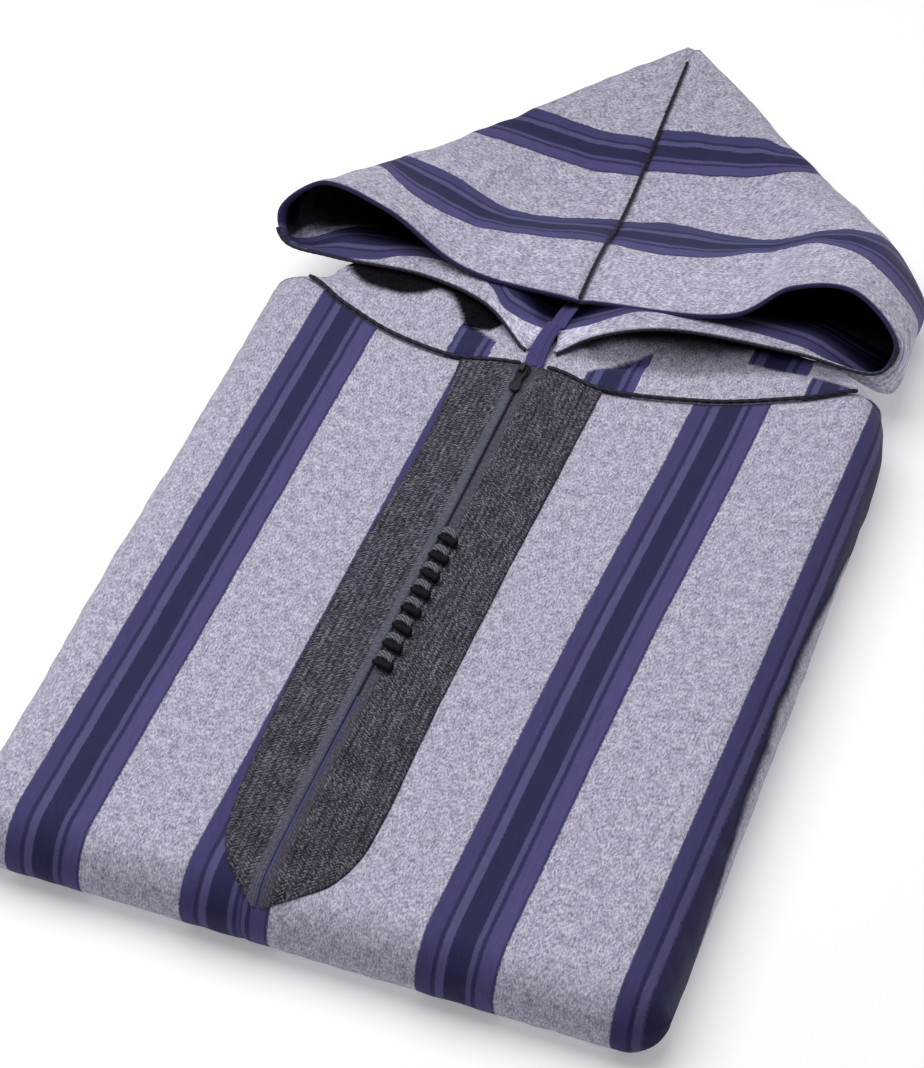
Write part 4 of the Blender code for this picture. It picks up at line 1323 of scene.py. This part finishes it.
    def grid(self, side: Side, shares: Grid) -> tuple[Grid, Grid]:
        """The hood's outside on one side.

        Args:
            side: The half.
            shares: The rows, from the hood's edge to its point.

        Returns:
            The points, and how far round the loop each column lies.
        """
        rim, turn = self.rim(side)
        share = shares[:, None]
        x, y, z = rim[:, 0][None], rim[:, 1][None], rim[:, 2][None]
        place = np.linspace(0.0, 1.0, len(rim))[None]
        sign = side.sign
        column = 1 if side is Side.LEFT else 2
        under = self.neck_seam_x + (self.point[0] - self.neck_seam_x) * share
        middle = self.seam_over(share) * turn + under * (1 - turn)
        reach = np.abs(x - self.forehead_x)
        half = reach * ((1 - share) + self.fullness.smooth(share, column))
        half = half + self.point_half_width * share * np.sin(math.pi * place)
        apart = abs(self.neck_seam_x - self.forehead_x) * (1 - turn)
        half = np.where(share > 0, np.maximum(half - apart, SEAM_GAP / 2), half)
        low = z * self.lower_fall.smooth(share)
        aside = np.minimum(reach / self.fall_reach, 1.0)
        beside = self.upper_fall.smooth(share, column + 1)
        fall = self.upper_fall.smooth(share) * (1 - aside) + beside * aside
        high = self.point[2] + (z - self.point[2]) * fall
        height = low + (high - low) * turn
        grid = np.stack([middle + sign * half, y + (self.point[1] - y) * share, height], axis=2)
        rolls = np.zeros((len(self.loop_turn), 3))
        rolls[4:6] = self.roll[side]
        rolls = curve_through(rolls, [count * self.finer for count in self.rim_steps])
        grid += self.roll_rise.smooth(share)[..., None] * rolls[None]
        grid[:, -1, 0] = self.seam_over(shares) + sign * SEAM_GAP / 2
        joined = self.neck_seam_x + sign * SEAM_GAP / 2
        opening = rim[0, 0] + (joined - rim[0, 0]) * shares / self.neck_join
        closed = under[:, 0] + sign * SEAM_GAP / 2
        grid[:, 0, 0] = np.where(shares >= self.neck_join, closed, opening)
        return grid, turn

    def phase(self, side: Side, grid: Grid, turn: Grid, lower: float) -> Grid:
        """Each point's place in the stripes' repeat.

        Args:
            side: The half.
            grid: The cloth's points.
            turn: How far round the loop each column lies.
            lower: How far round the loop the lower layer's stripes go.

        Returns:
            Places in the repeat.
        """
        x, y = grid[..., 0], grid[..., 1]
        wool = StripedWool()
        gap = wool.repeat - wool.cluster
        one, two = self.lower_cluster[side], self.upper_cluster[side]
        edges = [one[0].smooth(x), one[1].smooth(x), two[0].smooth(x), two[1].smooth(x)]
        edges[1] = np.maximum(edges[1], edges[0] + 12)
        over = wool.cluster * (edges[1] - y) / (edges[1] - edges[0])
        over = np.where(y < edges[0], wool.cluster + np.minimum(edges[0] - y, gap - 2), over)
        between = -gap * (y - edges[1]) / (edges[2] - edges[1])
        over = np.where(y > edges[1], between, over)
        far = -gap - wool.cluster * (y - edges[2]) / (edges[3] - edges[2])
        over = np.where(y > edges[2], far, over)
        beyond = -gap - wool.cluster - np.minimum((y - edges[3]) * 0.55, gap - 4)
        over = np.where(y > edges[3], beyond, over)
        near, end = self.inner_cluster[side]
        near, end = near.smooth(x), end.smooth(x)
        under = wool.cluster * (y - near) / (end - near)
        under = np.where(y < near, np.maximum(y - near, 4 - gap), under)
        under = np.where(y > end, wool.cluster + np.minimum(y - end, gap - 4), under)
        return np.where(turn[None] > lower, over, under)

    def depth(self, side: Side, grid: Grid, from_rim: Grid, turn: Grid) -> Grid:
        """The painted light on the hood's inside at each point: painted shade far inside, and two painted
        pools of light.
        """
        lower = self.lower_light.smooth(from_rim)
        upper = self.upper_light.smooth(from_rim)
        share = unit(turn[None] / 0.14)
        found = lower * (1 - share) + upper * share
        x, y, half_x, half_y, lean, bright = self.patch[side]
        across = (grid[..., 0] - x) / half_x
        along = (grid[..., 1] - y - lean * (grid[..., 0] - x)) / half_y
        found = np.maximum(found, bright * np.exp(-(across**2 + along**2)) * (turn[None] < 0.6))
        x, y, half_x, half_y, bright = self.neck_light_patch
        near = np.exp(-(((grid[..., 0] - x) / half_x) ** 2) - ((grid[..., 1] - y) / half_y) ** 2)
        return found + bright * near * (turn[None] < 0.1)

    def build(self) -> None:
        """Makes both halves."""
        for side in Side:
            self.half(side)

    def half(self, side: Side) -> None:
        """Makes one half with its hem, creases, stripes and facing."""
        shares = self.shares()
        outer, turn = self.grid(side, shares)
        steps = np.linalg.norm(np.diff(outer, axis=0), axis=2)
        from_rim = np.pad(np.cumsum(steps, axis=0), ((1, 0), (0, 0)))
        normal = grid_normals(outer) * side.sign
        normal[:, 0] = (0.0, 0.0, -1.0)
        normal[:, -1, 0] = 0.0
        still = np.linalg.norm(normal, axis=2) < 1e-3
        normal[still] = (0.0, 0.0, 1.0)
        normal[still & (turn[None] < 0.5)] = (0.0, 0.0, -1.0)
        normal /= np.linalg.norm(normal, axis=2, keepdims=True)
        top = unit((turn[None] - 0.6) / 0.4)
        rise = uneven(self.creases[side], outer[..., 0], outer[..., 1])
        tip = unit((1 - shares) / 0.15)[:, None]
        from_seam = np.abs(outer[..., 0] - self.seam_over(shares)[:, None])
        rise = rise * top * tip * unit(from_rim / 10) * np.clip(from_seam / 12, 0.1, 1.0)
        dip = 0.8 * np.exp(-((from_seam / 2.5) ** 2)) * top
        hem = np.exp(-((from_rim / self.hem_reach) ** 4))
        loop = unit(turn[None] / 0.3)
        thick = CLOTH + (self.hem_thick - CLOTH) * hem * loop
        inner = outer - normal * (thick - np.minimum(rise, 0.0))[..., None]
        lip = 0.45 * np.exp(-((from_rim / 1.0) ** 2))
        outer = outer + normal * (rise - dip - lip)[..., None]
        inner = inner + normal * lip[..., None]
        inner[..., 2] = np.maximum(inner[..., 2], 0.15)
        u, v = from_rim * self.nap_scale[0], outer[..., 0] * self.nap_scale[1]
        mark = np.stack([self.phase(side, outer, turn, 0.03), u, v], axis=2)
        inside_mark = np.stack([self.phase(side, outer, turn, 0.3), u, v], axis=2)
        edge = unit(2.2 - from_rim / 1.0) * loop
        inside = unit(4 - from_rim / (self.facing_reach / 4)) * loop
        # painted light on the outside, with painted shade on the far left
        light = 1 + (self.outside_light.smooth(from_rim) - 1) * top
        light -= 0.06 * unit((-outer[..., 0] - 50) / 80) * top
        outside_tone = stacked(edge, light, 0.0)
        inside_tone = stacked(inside, self.depth(side, outer, from_rim, turn), 0.0)
        name = "hood_" + side.word
        piece = striped(name, outer, inner, self.finishes.wool, (mark, inside_mark),
                        (outside_tone, inside_tone))


@dataclass
class FoldedLayers:
    """What lies folded inside the packet, with its layers showing along the sides."""

    finishes: Finishes
    core_gap: float = 0.8
    grey_place: float = 60.0
    core_setback: float = 3.5
    fold_from: float = 84.0
    top_from: float = 0.003
    end_turns: tuple[float, ...] = (*np.linspace(2.0, 72.0, 20), 77.0, 81.0, 84.0, 86.0, 87.5)
    top_columns: int = 13
    layers: Table = Table(
        # share of the height, how far inside the packet's side
        (0.00, 1.5), (0.03, 0.2), (0.09, 0.0), (0.115, 1.7), (0.14, 0.0), (0.21, 0.0),
        (0.235, 1.7), (0.25, 2.8), (1.00, 2.8),
    )
    fold_steps: int = 14
    top_steps: int = 60
    side_steps: int = 44

    def half_row(self, stretch: Stretch, value: float, side: Side) -> Grid:
        """One side of the layers in a row, from the floor up."""
        sign = side.sign
        at = np.array(value)
        middle_y = PACKET.section(stretch, at, np.array(sign * 180.0), 0.0, 0.0)[0]
        flat_x = PACKET.side_extreme(side, middle_y) - sign * PACKET.side_radius
        inside = CLOTH + self.core_gap
        _, z, radius, dy, dz, draw = PACKET.section(stretch, at, flat_x, inside, 0.0)
        covered = stretch is Stretch.FOLD
        top = z + radius * dz
        bottom = 2 * PACKET.fold_radius - top if covered else 0.0
        share = np.linspace(0.0, 1.0, self.side_steps)
        inset = np.full_like(share, inside) if covered else self.layers.straight(share)
        height = bottom + share * (top - bottom)
        if covered:
            away = np.hypot(radius * dy, height - z) / radius
        else:
            away = np.where(height > z, (height - z) / radius, (z - height) / z)
        rounding = np.maximum(0.0, 1 - np.minimum(away, 1.0) ** PACKET.side_power)
        rounding = rounding ** (1 / PACKET.side_power)
        widest = sign * PACKET.side_radius * np.where(height > z, rounding, 1.0)
        y = PACKET.section(stretch, at, flat_x + widest, inside, 0.0)[0]
        x = PACKET.drawn_in(flat_x, side, draw) + sign * (PACKET.side_radius - inset) * rounding
        return stacked(x, y + radius * dy - self.setback(stretch, value), height)

    def setback(self, stretch: Stretch, value: float) -> float:
        """How much further the layers stop short of the far end's cloth in a row."""
        return self.core_setback * math.sin(math.radians(value)) if stretch is Stretch.END else 0.0

    def top_row(self, stretch: Stretch, value: float) -> Grid:
        """The layers' flat top in a row, from left to right."""
        halves = []
        for side in Side:
            columns = Columns.across(side, 0.0, self.top_columns, 0)
            row = PACKET.grid(stretch, np.array([value]), columns, CLOTH + self.core_gap, 0.0)[0, :-1]
            halves.append(row[::-1] if side is Side.LEFT else row)
        return np.concatenate(halves) - (0.0, self.setback(stretch, value), 0.0)

    def build(self) -> None:
        """Makes the layers as one rounded stack."""
        stack = []
        for stretch, values in (
            (Stretch.FOLD, np.linspace(self.fold_from, 0.0, self.fold_steps)),
            (Stretch.TOP, np.linspace(self.top_from, 1.0, self.top_steps)),
            (Stretch.END, self.end_turns),
        ):
            for value in values:
                left, right = (self.half_row(stretch, value, side) for side in Side)
                inner = self.top_row(stretch, value)
                under = inner[::-1].copy()
                under[:, 2] = left[0, 2]
                stack.append(np.concatenate([left, inner, right[::-1], under]))
        stack = np.array(stack)
        mark = stacked(self.grey_place, stack[..., 2] * 3, stack[..., 1]).reshape(-1, 3)
        tone = np.tile((0.0, 1.0, 0.0), (len(mark), 1))
        piece = make_mesh("folded_layers_cloth", stack.reshape(-1, 3), tube_faces(*stack.shape[:2]),
                          [self.finishes.layers], {"cloth": mark, "tone": tone})
        settle(piece, "folded_layers", "folded_layers")


@dataclass
class Placket:
    """Two braided bands that run down both sides of the zip to one rounded point."""

    finishes: Finishes
    thick: float = 1.8
    outline: Table = Table(
        # along, left edge, right edge
        (-4, -41, 51), (-40, -37, 50.7), (-90, -35.2, 50.4), (-170, -38.3, 49.4),
        (-261, -38, 49.5), (-310, -36, 50), (-361, -33, 51.5), (-389, -29.8, 51),
        (-406, -26, 47.5), (-421, -19, 41), (-433, -8, 26), (-443, 3, 10),
    )
    slit: Table = Table(
        # along, middle of the slit
        (0, 0), (-26, 1.1), (-110, 2.6), (-250, 3.6), (-304, 3.9), (-400, 5), (-443, 6.5),
    )
    slit_half: float = 0.9
    cord_gap: float = 1.8
    plait: float = 3.7
    stitch: float = 2.3
    relief: float = 0.55
    plain: float = 5.5
    top_y: float = -4.0
    tip_y: float = -443.0
    fitted_from: float = -40.0
    span: float = 40.0
    step_across: float = 0.62
    step_along: float = 0.72

    def build(self) -> None:
        """Makes both bands."""
        for side in Side:
            self.band(side)

    def relief_at(self, across: Grid, along: Grid, wide: Grid) -> Grid:
        """The braid's relief, from 0 in its grooves to 1 on its ridges.

        Args:
            across: Millimetres from the slit's edge of the band.
            along: Millimetres along the band.
            wide: The band's width there.

        Returns:
            The relief.
        """
        row = (across - self.plain) / self.plait
        number = np.floor(row)
        inside = row - number
        slant = np.where(number % 2 == 0, 1.0, -1.0)
        turn = along / self.stitch + slant * (inside - 0.5) * self.plait / self.stitch * 0.9
        strand = 0.5 + 0.5 * np.cos(2 * math.pi * turn)
        groove = np.sin(math.pi * inside) ** 0.5
        braid = strand * groove
        rib = 0.55 + 0.45 * np.cos(2 * math.pi * across / 1.75)
        dash = 0.5 + 0.5 * np.cos(2 * math.pi * along / 1.9)
        strip = 0.72 * rib + 0.28 * rib * dash
        edge = unit((wide - across) / 1.2)
        found = np.where(across < self.plain, strip, braid)
        return found * edge

    def band(self, side: Side) -> None:
        """Makes one band with its plaits."""
        sign = side.sign
        column = 1 if side is Side.LEFT else 2
        rows = round((self.top_y - self.tip_y) / self.step_along)
        along = np.linspace(self.top_y, self.tip_y, rows)[:, None]
        start = self.slit.straight(along) + sign * self.slit_half
        stop = self.outline.smooth(along, column)
        stop = np.maximum(sign * stop, sign * start + 3.0) * sign
        share = np.linspace(0.0, 1.0, round(self.span / self.step_across))[None]
        x = start + share * (stop - start)
        top = PACKET.shoulder_seam.smooth(x) - self.cord_gap
        fitted = (along - self.fitted_from) / (self.top_y - self.fitted_from)
        y = np.where(along > self.fitted_from, along + (top - self.top_y) * fitted, along)
        across = np.abs(x - start)
        wide = np.abs(stop - start)
        relief = self.relief_at(across, y, wide)
        end = np.minimum(share * wide, (1 - share) * wide)
        crown = 1 - 0.6 * np.exp(-end / 0.7)
        rise = SEAM_GAP + (self.thick - self.relief + self.relief * relief) * crown
        outer = PACKET.over(x, y, rise)
        inner = PACKET.over(x, y, SEAM_GAP)
        mark = np.stack([relief, across, y], axis=2)
        name = "placket_" + side.word
        piece = shell(name + "_braid", outer, inner, [self.finishes.braid[side]], {"braid": (mark, mark)})
        settle(piece, "braid", name)


@dataclass(frozen=True)
class Twist:
    """How a cord is laid: its strands and the length of one turn."""

    strands: int = 2
    pitch: float = 6.0
    depth: float = 0.16
    sides: int = 12


def twisted_tube(name: str, path: Grid, radius: float, twist: Twist, finish: bpy.types.Material,
                 step: float = 0.7) -> bpy.types.Object:
    """A twisted cord along a path, with closed ends.

    Args:
        name: The piece's name.
        path: The points that it follows.
        radius: Its outer radius.
        twist: How its strands are laid.
        finish: Its material.
        step: The distance between its sections.

    Returns:
        The cord.
    """
    lengths = np.pad(np.cumsum(np.linalg.norm(np.diff(path, axis=0), axis=1)), (1, 0))
    count = max(4, round(lengths[-1] / step))
    at = np.linspace(0.0, lengths[-1], count + 1)
    line = np.stack([np.interp(at, lengths, path[:, k]) for k in range(3)], axis=1)
    along = np.gradient(line, axis=0)
    along /= np.linalg.norm(along, axis=1, keepdims=True)
    up = np.array([0.0, 0.0, 1.0]) - along * along[:, 2:3]
    up /= np.maximum(np.linalg.norm(up, axis=1, keepdims=True), 1e-9)
    side = np.cross(along, up)
    turn = 2 * math.pi * np.arange(twist.sides)[None] / twist.sides
    wave = np.cos(twist.strands * (turn - 2 * math.pi * at[:, None] / twist.pitch / twist.strands))
    end = np.minimum(at, lengths[-1] - at)[:, None]
    cap = np.sqrt(np.clip(1 - (1 - unit(end / radius)) ** 2, 0.04, 1.0))
    reach = radius * (1 - twist.depth * (0.5 - 0.5 * wave)) * cap
    ring = line[:, None] + reach[..., None] * (
        np.cos(turn)[..., None] * up[:, None] + np.sin(turn)[..., None] * side[:, None])
    mark = stacked(0.5 + 0.5 * wave, turn * radius, at[:, None]).reshape(-1, 3)
    return make_mesh(name, ring.reshape(-1, 3), tube_faces(*ring.shape[:2]), [finish], {"braid": mark})


@dataclass
class Cords:
    """The dark cords over the hood's seam, along the shoulder seams and under the hood's edge."""

    finishes: Finishes
    hood: Hood
    seam_radius: float = 1.3
    seam_stop: float = 0.94
    shoulder_radius: float = 1.5
    rim_radius: float = 1.1
    rim_short: dict[Side, int] = by_side(left=9, right=0)
    shoulder_ends: dict[Side, tuple[float, float]] = by_side(
        left=(-158.0, -4.0), right=(12.0, 198.0))

    def build(self) -> None:
        """Makes all the cords."""
        shares = np.linspace(0.0, self.seam_stop, 40)
        left, right = (self.hood.grid(side, shares)[0][:, -1] for side in Side)
        path = (left + right) / 2 + (0.0, 0.0, self.seam_radius + SEAM_GAP + 0.2)
        settle(twisted_tube("hood_seam_cord_twist", path, self.seam_radius, Twist(), self.finishes.cord),
               "cord", "hood_seam_cord")
        for side in Side:
            start, stop = self.shoulder_ends[side]
            x = np.linspace(start, stop, 60)
            z = np.full_like(x, PACKET.thick + SEAM_GAP + self.shoulder_radius)
            path = np.stack([x, PACKET.shoulder_seam.smooth(x), z], axis=1)
            name = "shoulder_cord_" + side.word
            cord = twisted_tube(name + "_twist", path, self.shoulder_radius, Twist(pitch=7.0),
                                self.finishes.cord)
            settle(cord, "cord", name)
            self.rim_cord(side)

    def rim_cord(self, side: Side) -> None:
        """Makes the thin cord along the hood's lower edge on one side."""
        grid = self.hood.grid(side, np.array([0.0, 0.07]))[0]
        last = sum(self.hood.rim_steps[:5]) * self.hood.finer - self.rim_short[side]
        edge, behind = grid[0, : last + 1], grid[1, : last + 1]
        forward = edge - behind
        forward[:, 2] = 0.0
        forward /= np.linalg.norm(forward, axis=1, keepdims=True)
        path = edge + forward * (self.rim_radius + SEAM_GAP) + (0.0, 0.0, self.rim_radius * 0.9)
        name = "rim_cord_" + side.word
        cord = twisted_tube(name + "_twist", path, self.rim_radius, Twist(pitch=4.5), self.finishes.cord)
        settle(cord, "cord", name)


@dataclass
class NeckTape:
    """The tape over the hood's back seam, seen in the neck above the zip."""

    finishes: Finishes
    hood: Hood
    half: float = 5.0
    thick: float = 1.0
    last: float = 0.25
    rib_pitch: float = 1.25
    steps_along: int = 60
    steps_across: int = 25
    tail_line: tuple = (
        (4.2, 48, 53.2), (2.8, 36, 53.0), (2.6, 24, 52.6), (3.2, 13, 51.2), (3.6, 8, 50.9))
    tail_half: tuple = ((0, 5.0), (0.3, 5.4), (0.75, 6.2), (1, 5.4))

    def build(self) -> None:
        """Makes the tape with its ribs."""
        shares = np.linspace(self.hood.neck_join, self.last, self.steps_along)
        steps = np.linspace(-1.0, 1.0, self.steps_across)
        left, right = (self.hood.grid(side, shares)[0] for side in Side)
        outer = np.empty((len(shares), len(steps), 3))
        for k, step in enumerate(steps):
            grid = left if step < 0 else right
            seam = grid[:, 0]
            beside = grid[:, self.hood.finer]
            reach = abs(step) * self.half / np.abs(beside[:, 0] - seam[:, 0])
            outer[:, k] = seam + (beside - seam) * reach[:, None]
        lift = np.array([0.0, 0.0, CLOTH * 1.1 + SEAM_GAP])
        inner = outer + lift
        rib, high = self.ribs(steps[None])
        outer = inner + stacked(0.0, 0.0, self.thick * high)
        mark = stacked(rib, steps[None] * self.half, outer[..., 1])
        piece = shell("neck_tape_band", outer, inner, [self.finishes.tape], {"braid": (mark, mark)})
        settle(piece, "tape", "neck_tape")
        self.tail()

    def ribs(self, steps: Grid) -> tuple[Grid, Grid]:
        """The tape's ribs from 0 to 1, and its height as a share of its thickness."""
        rib = 0.5 + 0.5 * np.cos(2 * math.pi * steps * self.half / self.rib_pitch)
        edge = np.sqrt(unit(1.02 - np.abs(steps) ** 6))
        return rib, 0.75 * edge + 0.2 * rib * edge

    def tail(self) -> None:
        """Makes the tape's end, which runs on over the hood's corners to the zip's slider."""
        line = curve_through(self.tail_line, [8] * (len(self.tail_line) - 1))
        steps = np.linspace(-1.0, 1.0, self.steps_across)
        along = np.gradient(line, axis=0)
        aside = np.stack([along[:, 1], -along[:, 0]], axis=1)
        aside = -aside / np.linalg.norm(aside, axis=1, keepdims=True)
        half = Table(*self.tail_half).smooth(np.linspace(0, 1, len(line)))[:, None]
        x = line[:, :1] + aside[:, :1] * half * steps[None]
        y = line[:, 1:2] + aside[:, 1:] * half * steps[None]
        rib, high = self.ribs(steps[None])
        fold = 0.9 * np.exp(-(((steps[None] - 0.15) / 0.25) ** 2))
        inner = stacked(x, y, line[:, 2:])
        outer = stacked(x, y, line[:, 2:] + self.thick * (high + fold))
        mark = stacked(rib, steps[None] * self.half, y)
        piece = shell("neck_tape_tail", outer, inner, [self.finishes.tape], {"braid": (mark, mark)})
        settle(piece, "tape")


@dataclass
class Knots:
    """The row of knotted buttons, each with the loop of braid that holds it."""

    finishes: Finishes
    placket: Placket
    count: int = 8
    first_y: float = -156.5
    pitch: float = 15.2
    aside: float = 6.8
    profile: Table = Table(
        # along the knot, radius
        (-7.3, 0.7), (-6.5, 1.6), (-4.4, 2.2), (-1.4, 2.6), (1.0, 2.5), (2.4, 2.4), (3.9, 3.2),
        (5.2, 3.0), (6.0, 1.7), (6.4, 0.7),
    )
    winding: float = 1.15
    sides: int = 28
    sections: int = 60
    loop_backs: tuple[float, float] = (6.3, 8.7)
    loop_reach: float = 4.4
    loop_radius: float = 1.25
    loop_bow: float = 1.3
    loop_lean: float = 0.25
    loop_base: float = 0.7
    loop_rise: float = 1.7
    yaw: float = -13.0
    yaw_spread: float = 4.0

    def build(self) -> None:
        """Makes every knot and its loop."""
        for number in range(self.count):
            self.knot(number)
        self.loops()

    def place(self, number: int) -> tuple[float, float, float]:
        """The middle of one knot: across, along and up."""
        along = self.first_y - self.pitch * number
        middle = float(self.placket.slit.straight(along)) + self.aside
        rise = PACKET.thick + 2 * SEAM_GAP + self.placket.thick + self.profile.rows[:, 1].max()
        return middle, along, rise

    def knot(self, number: int) -> None:
        """Makes one knot of wound thread."""
        x, y, z = self.place(number)
        offset = np.linspace(*self.profile.rows[[0, -1], 0], self.sections)[:, None]
        turn = 2 * math.pi * np.arange(self.sides)[None] / self.sides
        wound = 0.5 + 0.5 * np.cos(2 * math.pi * offset / self.winding + turn + number)
        lean = 0.5 + 0.5 * np.cos(3 * turn - offset * 1.1 + number * 1.7)
        radius = self.profile.smooth(offset) * (0.84 + 0.1 * wound + 0.06 * lean)
        yaw = math.radians(self.yaw + self.yaw_spread * math.sin(number * 2.1))
        px = x + offset * math.cos(yaw) - radius * np.cos(turn) * math.sin(yaw)
        py = y + offset * math.sin(yaw) + radius * np.cos(turn) * math.cos(yaw)
        ring = np.stack([px, py, z + radius * np.sin(turn)], axis=2)
        mark = stacked(wound, turn * 3, offset).reshape(-1, 3)
        name = f"knot_{number + 1}"
        piece = make_mesh(name + "_wound", ring.reshape(-1, 3), tube_faces(self.sections, self.sides),
                          [self.finishes.knot], {"braid": mark})
        settle(piece, "knots", name)

    def loops(self) -> None:
        """Makes the loops, each an arch of braid beside the thin end of its knot."""
        for number in range(self.count):
            x, y, _ = self.place(number)
            base = PACKET.thick + SEAM_GAP + self.placket.thick
            turn = np.linspace(0.0, math.pi, 24)
            for strand, back in enumerate(self.loop_backs):
                bow = y + back + self.loop_bow * np.sin(turn)
                path = stacked(
                    x - self.loop_reach / 2 + self.loop_reach * np.cos(turn),
                    bow - self.loop_lean * np.cos(turn) * self.loop_reach,
                    base + self.loop_base + self.loop_rise * np.sin(turn))
                loop = twisted_tube(f"knot_loop_{number + 1}_{strand + 1}", path, self.loop_radius,
                                    Twist(3, 3.4, 0.2), self.finishes.loop, 0.4)
                settle(loop, "braid")


@dataclass
class Zip:
    """The closed zip in the slit, its slider and its pull tab."""

    finishes: Finishes
    placket: Placket
    first_y: float = -9.0
    last_y: float = -287.0
    pitch: float = 1.45
    tooth: tuple[float, float, float] = (0.62, 0.95, 1.2)
    tooth_aside: float = 0.13
    tooth_tip: float = 0.25
    sharp_angle: float = 40.0
    bevel: float = 0.3
    bevel_angle: float = 35.0

    def build(self) -> None:
        """Makes the teeth, and gives the slider and the tab their bevels and finish."""
        self.teeth()
        for node, body in (("zip_slider", GARMENT), ("zip_pull_tab", PULL_TAB)):
            self.bevelled(node, body)

    def teeth(self) -> None:
        """Makes two rows of interlocking teeth as one piece."""
        points, faces = [], []
        count = int((self.first_y - self.last_y) / self.pitch)
        half_x, half_y, high = self.tooth[0] / 2, self.tooth[1] / 2, self.tooth[2]
        base = PACKET.thick + SEAM_GAP + 0.05
        for number in range(count):
            y = self.first_y - self.pitch * number
            side = 1.0 if number % 2 else -1.0
            x = float(self.placket.slit.straight(y)) + side * self.tooth_aside
            first = len(points)
            for height, shrink in ((0.0, 1.0), (high - self.tooth_tip, 1.0), (high, 0.6)):
                for sx, sy in ((-1, -1), (1, -1), (1, 1), (-1, 1)):
                    points.append((x + sx * half_x * shrink, y + sy * half_y * shrink, base + height))
            for ring in range(2):
                for k in range(4):
                    a, b = first + ring * 4 + k, first + ring * 4 + (k + 1) % 4
                    faces.append((a, b, b + 4, a + 4))
            faces.append((first + 3, first + 2, first + 1, first))
            faces.append((first + 8, first + 9, first + 10, first + 11))
        piece = make_mesh("zip_chain_teeth", np.array(points), faces, [self.finishes.metal])
        piece.data.set_sharp_from_angle(angle=math.radians(self.sharp_angle))
        settle(piece, "zip_metal", "zip_chain")

    def bevelled(self, node: str, body: str) -> None:
        """Makes a copy of a hard piece with its edges rounded, which stands for it."""
        source = bpy.data.objects[FRAME["nodes"][node].name]
        mesh = source.data.copy()
        mesh.materials.clear()
        mesh.materials.append(self.finishes.metal)
        piece = bpy.data.objects.new(node + "_rounded", mesh)
        piece.matrix_world = source.matrix_world
        bpy.context.scene.collection.objects.link(piece)
        rounding = piece.modifiers.new("rounded edges", "BEVEL")
        rounding.width = self.bevel * MM
        rounding.segments = 3
        rounding.limit_method = "ANGLE"
        rounding.angle_limit = math.radians(self.bevel_angle)
        settle(piece, "zip_metal", node, body=body)


def main() -> None:
    """Builds the garment, piece by piece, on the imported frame."""
    logging.basicConfig(level=logging.INFO, format="%(name)s: %(message)s")
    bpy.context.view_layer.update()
    Studio().build()
    finishes = Finishes()
    FoldedLayers(finishes).build()
    Fronts(finishes).build()
    Shoulders(finishes).build()
    hood = Hood(finishes)
    hood.build()
    placket = Placket(finishes)
    placket.build()
    Zip(finishes, placket).build()
    Knots(finishes, placket).build()
    Cords(finishes, hood).build()
    NeckTape(finishes, hood).build()


if __name__ == "__main__":
    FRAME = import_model()
    main()
